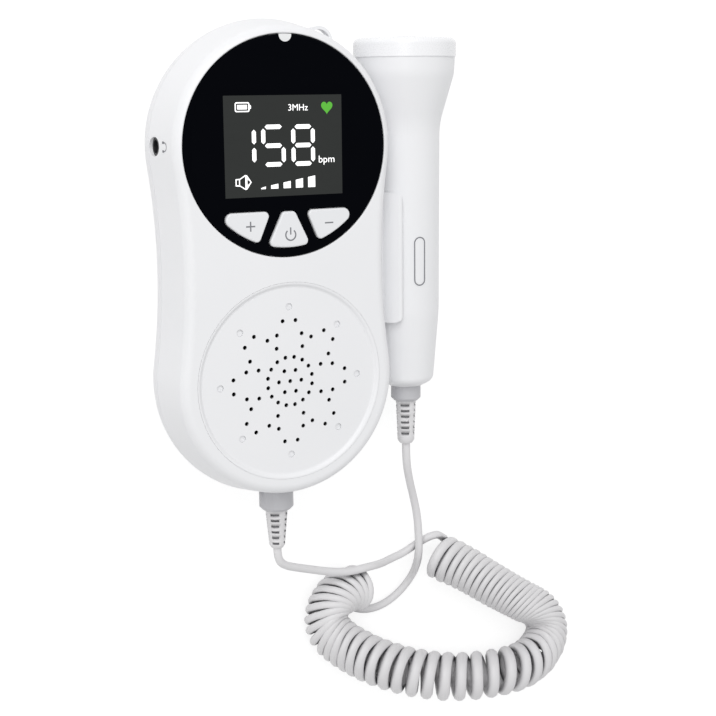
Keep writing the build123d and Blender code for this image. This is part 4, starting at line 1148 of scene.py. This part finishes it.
# ---------------------------------------------------------------- studio
@dataclass
class Studio:
    """Pale floor, soft light and the camera."""

    camera_mm: Spot = (-166.145, 15.648, 388.206)
    camera_turn_deg: Spot = (-10.3686, -27.722, -0.6508)
    lens_mm: float = 72.24
    floor_z_mm: float = -0.06
    floor_half_m: float = 2.0
    floor_colour: str = "e6e6e6"
    floor_shade: float = 0.3
    floor_glow: float = 0.80
    sky_strength: float = 0.68
    lamp_size_m: float = 0.5
    lamp_aim_m: Spot = (0.02, -0.06, 0.02)

    def build(self) -> None:
        """Sets the floor, the light and the camera up."""
        self.floor()
        self.sky()
        self.lamp("key_light", spot=(-0.30, 0.65, 0.70), watts=3.2)
        self.lamp("side_light", spot=(-0.45, 0.20, 0.85), watts=1.5)
        self.camera()

    def floor(self) -> None:
        """Pale floor that reads as white to the eye but still takes the object's shadow."""
        shape = bmesh.new()
        bmesh.ops.create_grid(shape, x_segments=4, y_segments=4, size=self.floor_half_m)
        bmesh.ops.translate(shape, vec=(0, 0, self.floor_z_mm * MM), verts=shape.verts)
        mesh = bpy.data.meshes.new("floor")
        shape.to_mesh(mesh)
        shape.free()
        piece = place("floor", mesh)
        material = bpy.data.materials.new("pale floor")
        material.use_nodes = True
        tree = material.node_tree
        tree.nodes.remove(tree.nodes["Principled BSDF"])
        plain = add_node(tree, "ShaderNodeBsdfDiffuse", {"Color": linear(self.floor_colour)})
        faint = add_node(tree, "ShaderNodeBsdfDiffuse", {"Color": (*[self.floor_shade] * 3, 1.0)})
        glow = add_node(tree, "ShaderNodeEmission", {"Color": WHITE, "Strength": self.floor_glow})
        both = add_node(tree, "ShaderNodeAddShader")
        tree.links.new(faint.outputs[0], both.inputs[0])
        tree.links.new(glow.outputs[0], both.inputs[1])
        choice = add_node(tree, "ShaderNodeMixShader", {}, {"Fac": self.seen(tree)})
        tree.links.new(plain.outputs[0], choice.inputs[1])
        tree.links.new(both.outputs[0], choice.inputs[2])
        tree.links.new(choice.outputs[0], tree.nodes["Material Output"].inputs["Surface"])
        mesh.materials.append(material)

    def seen(self, tree: Tree) -> Socket:
        """Tells the rays that show the floor from those that only light the object.

        Args:
            tree: nodes of the floor's material.

        Returns:
            One where a ray comes from the camera, a reflection or a clear piece.
        """
        path = add_node(tree, "ShaderNodeLightPath")
        first = add_node(tree, "ShaderNodeMath", {"operation": "MAXIMUM"})
        tree.links.new(path.outputs["Is Camera Ray"], first.inputs[0])
        tree.links.new(path.outputs["Is Glossy Ray"], first.inputs[1])
        second = add_node(tree, "ShaderNodeMath", {"operation": "MAXIMUM"})
        tree.links.new(first.outputs[0], second.inputs[0])
        tree.links.new(path.outputs["Is Transmission Ray"], second.inputs[1])
        return second.outputs[0]

    def sky(self) -> None:
        """Soft light from all round, white to the camera."""
        world = bpy.data.worlds.new("studio")
        bpy.context.scene.world = world
        world.use_nodes = True
        tree = world.node_tree
        light = tree.nodes["Background"]
        light.inputs["Color"].default_value = WHITE
        light.inputs["Strength"].default_value = self.sky_strength
        white = add_node(tree, "ShaderNodeBackground", {"Color": WHITE, "Strength": 1.0})
        path = add_node(tree, "ShaderNodeLightPath")
        choice = add_node(tree, "ShaderNodeMixShader", {}, {"Fac": path.outputs["Is Camera Ray"]})
        tree.links.new(light.outputs[0], choice.inputs[1])
        tree.links.new(white.outputs[0], choice.inputs[2])
        tree.links.new(choice.outputs[0], tree.nodes["World Output"].inputs["Surface"])

    def lamp(self, name: str, spot: Spot, watts: float) -> None:
        """Adds a soft square lamp that looks at the housing.

        Args:
            name: name of the lamp.
            spot: where it stands, in metres.
            watts: its power.
        """
        light = bpy.data.lights.new(name, "AREA")
        light.size = self.lamp_size_m
        light.energy = watts
        lamp = bpy.data.objects.new(name, light)
        lamp.location = spot
        lamp.rotation_euler = (Vector(self.lamp_aim_m) - Vector(spot)).to_track_quat("-Z", "Y").to_euler()
        bpy.context.scene.collection.objects.link(lamp)

    def camera(self) -> None:
        """Camera at its measured place and turn."""
        data = bpy.data.cameras.new("camera")
        data.lens = self.lens_mm
        data.sensor_width = 36.0
        data.clip_start = 0.01
        camera = bpy.data.objects.new("camera", data)
        camera.location = Vector(self.camera_mm) * MM
        camera.rotation_euler = [math.radians(angle) for angle in self.camera_turn_deg]
        bpy.context.scene.collection.objects.link(camera)
        bpy.context.scene.camera = camera


# ---------------------------------------------------------------- all together
def plain(box: tuple) -> list[list[float]]:
    """A box as plain lists of numbers."""
    return [[float(value) for value in corner] for corner in box]


def main() -> None:
    """Builds each sub-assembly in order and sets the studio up."""
    logging.basicConfig(level=logging.INFO, format="%(name)s: %(message)s")
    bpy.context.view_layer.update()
    for group in (Housing(), Display(), Keys(), Inside(), Probe(), CurlyLead(), Studio()):
        group.build()
    bpy.context.scene.view_settings.view_transform = "Standard"
    bpy.context.view_layer.update()


if __name__ == "__main__":
    main()
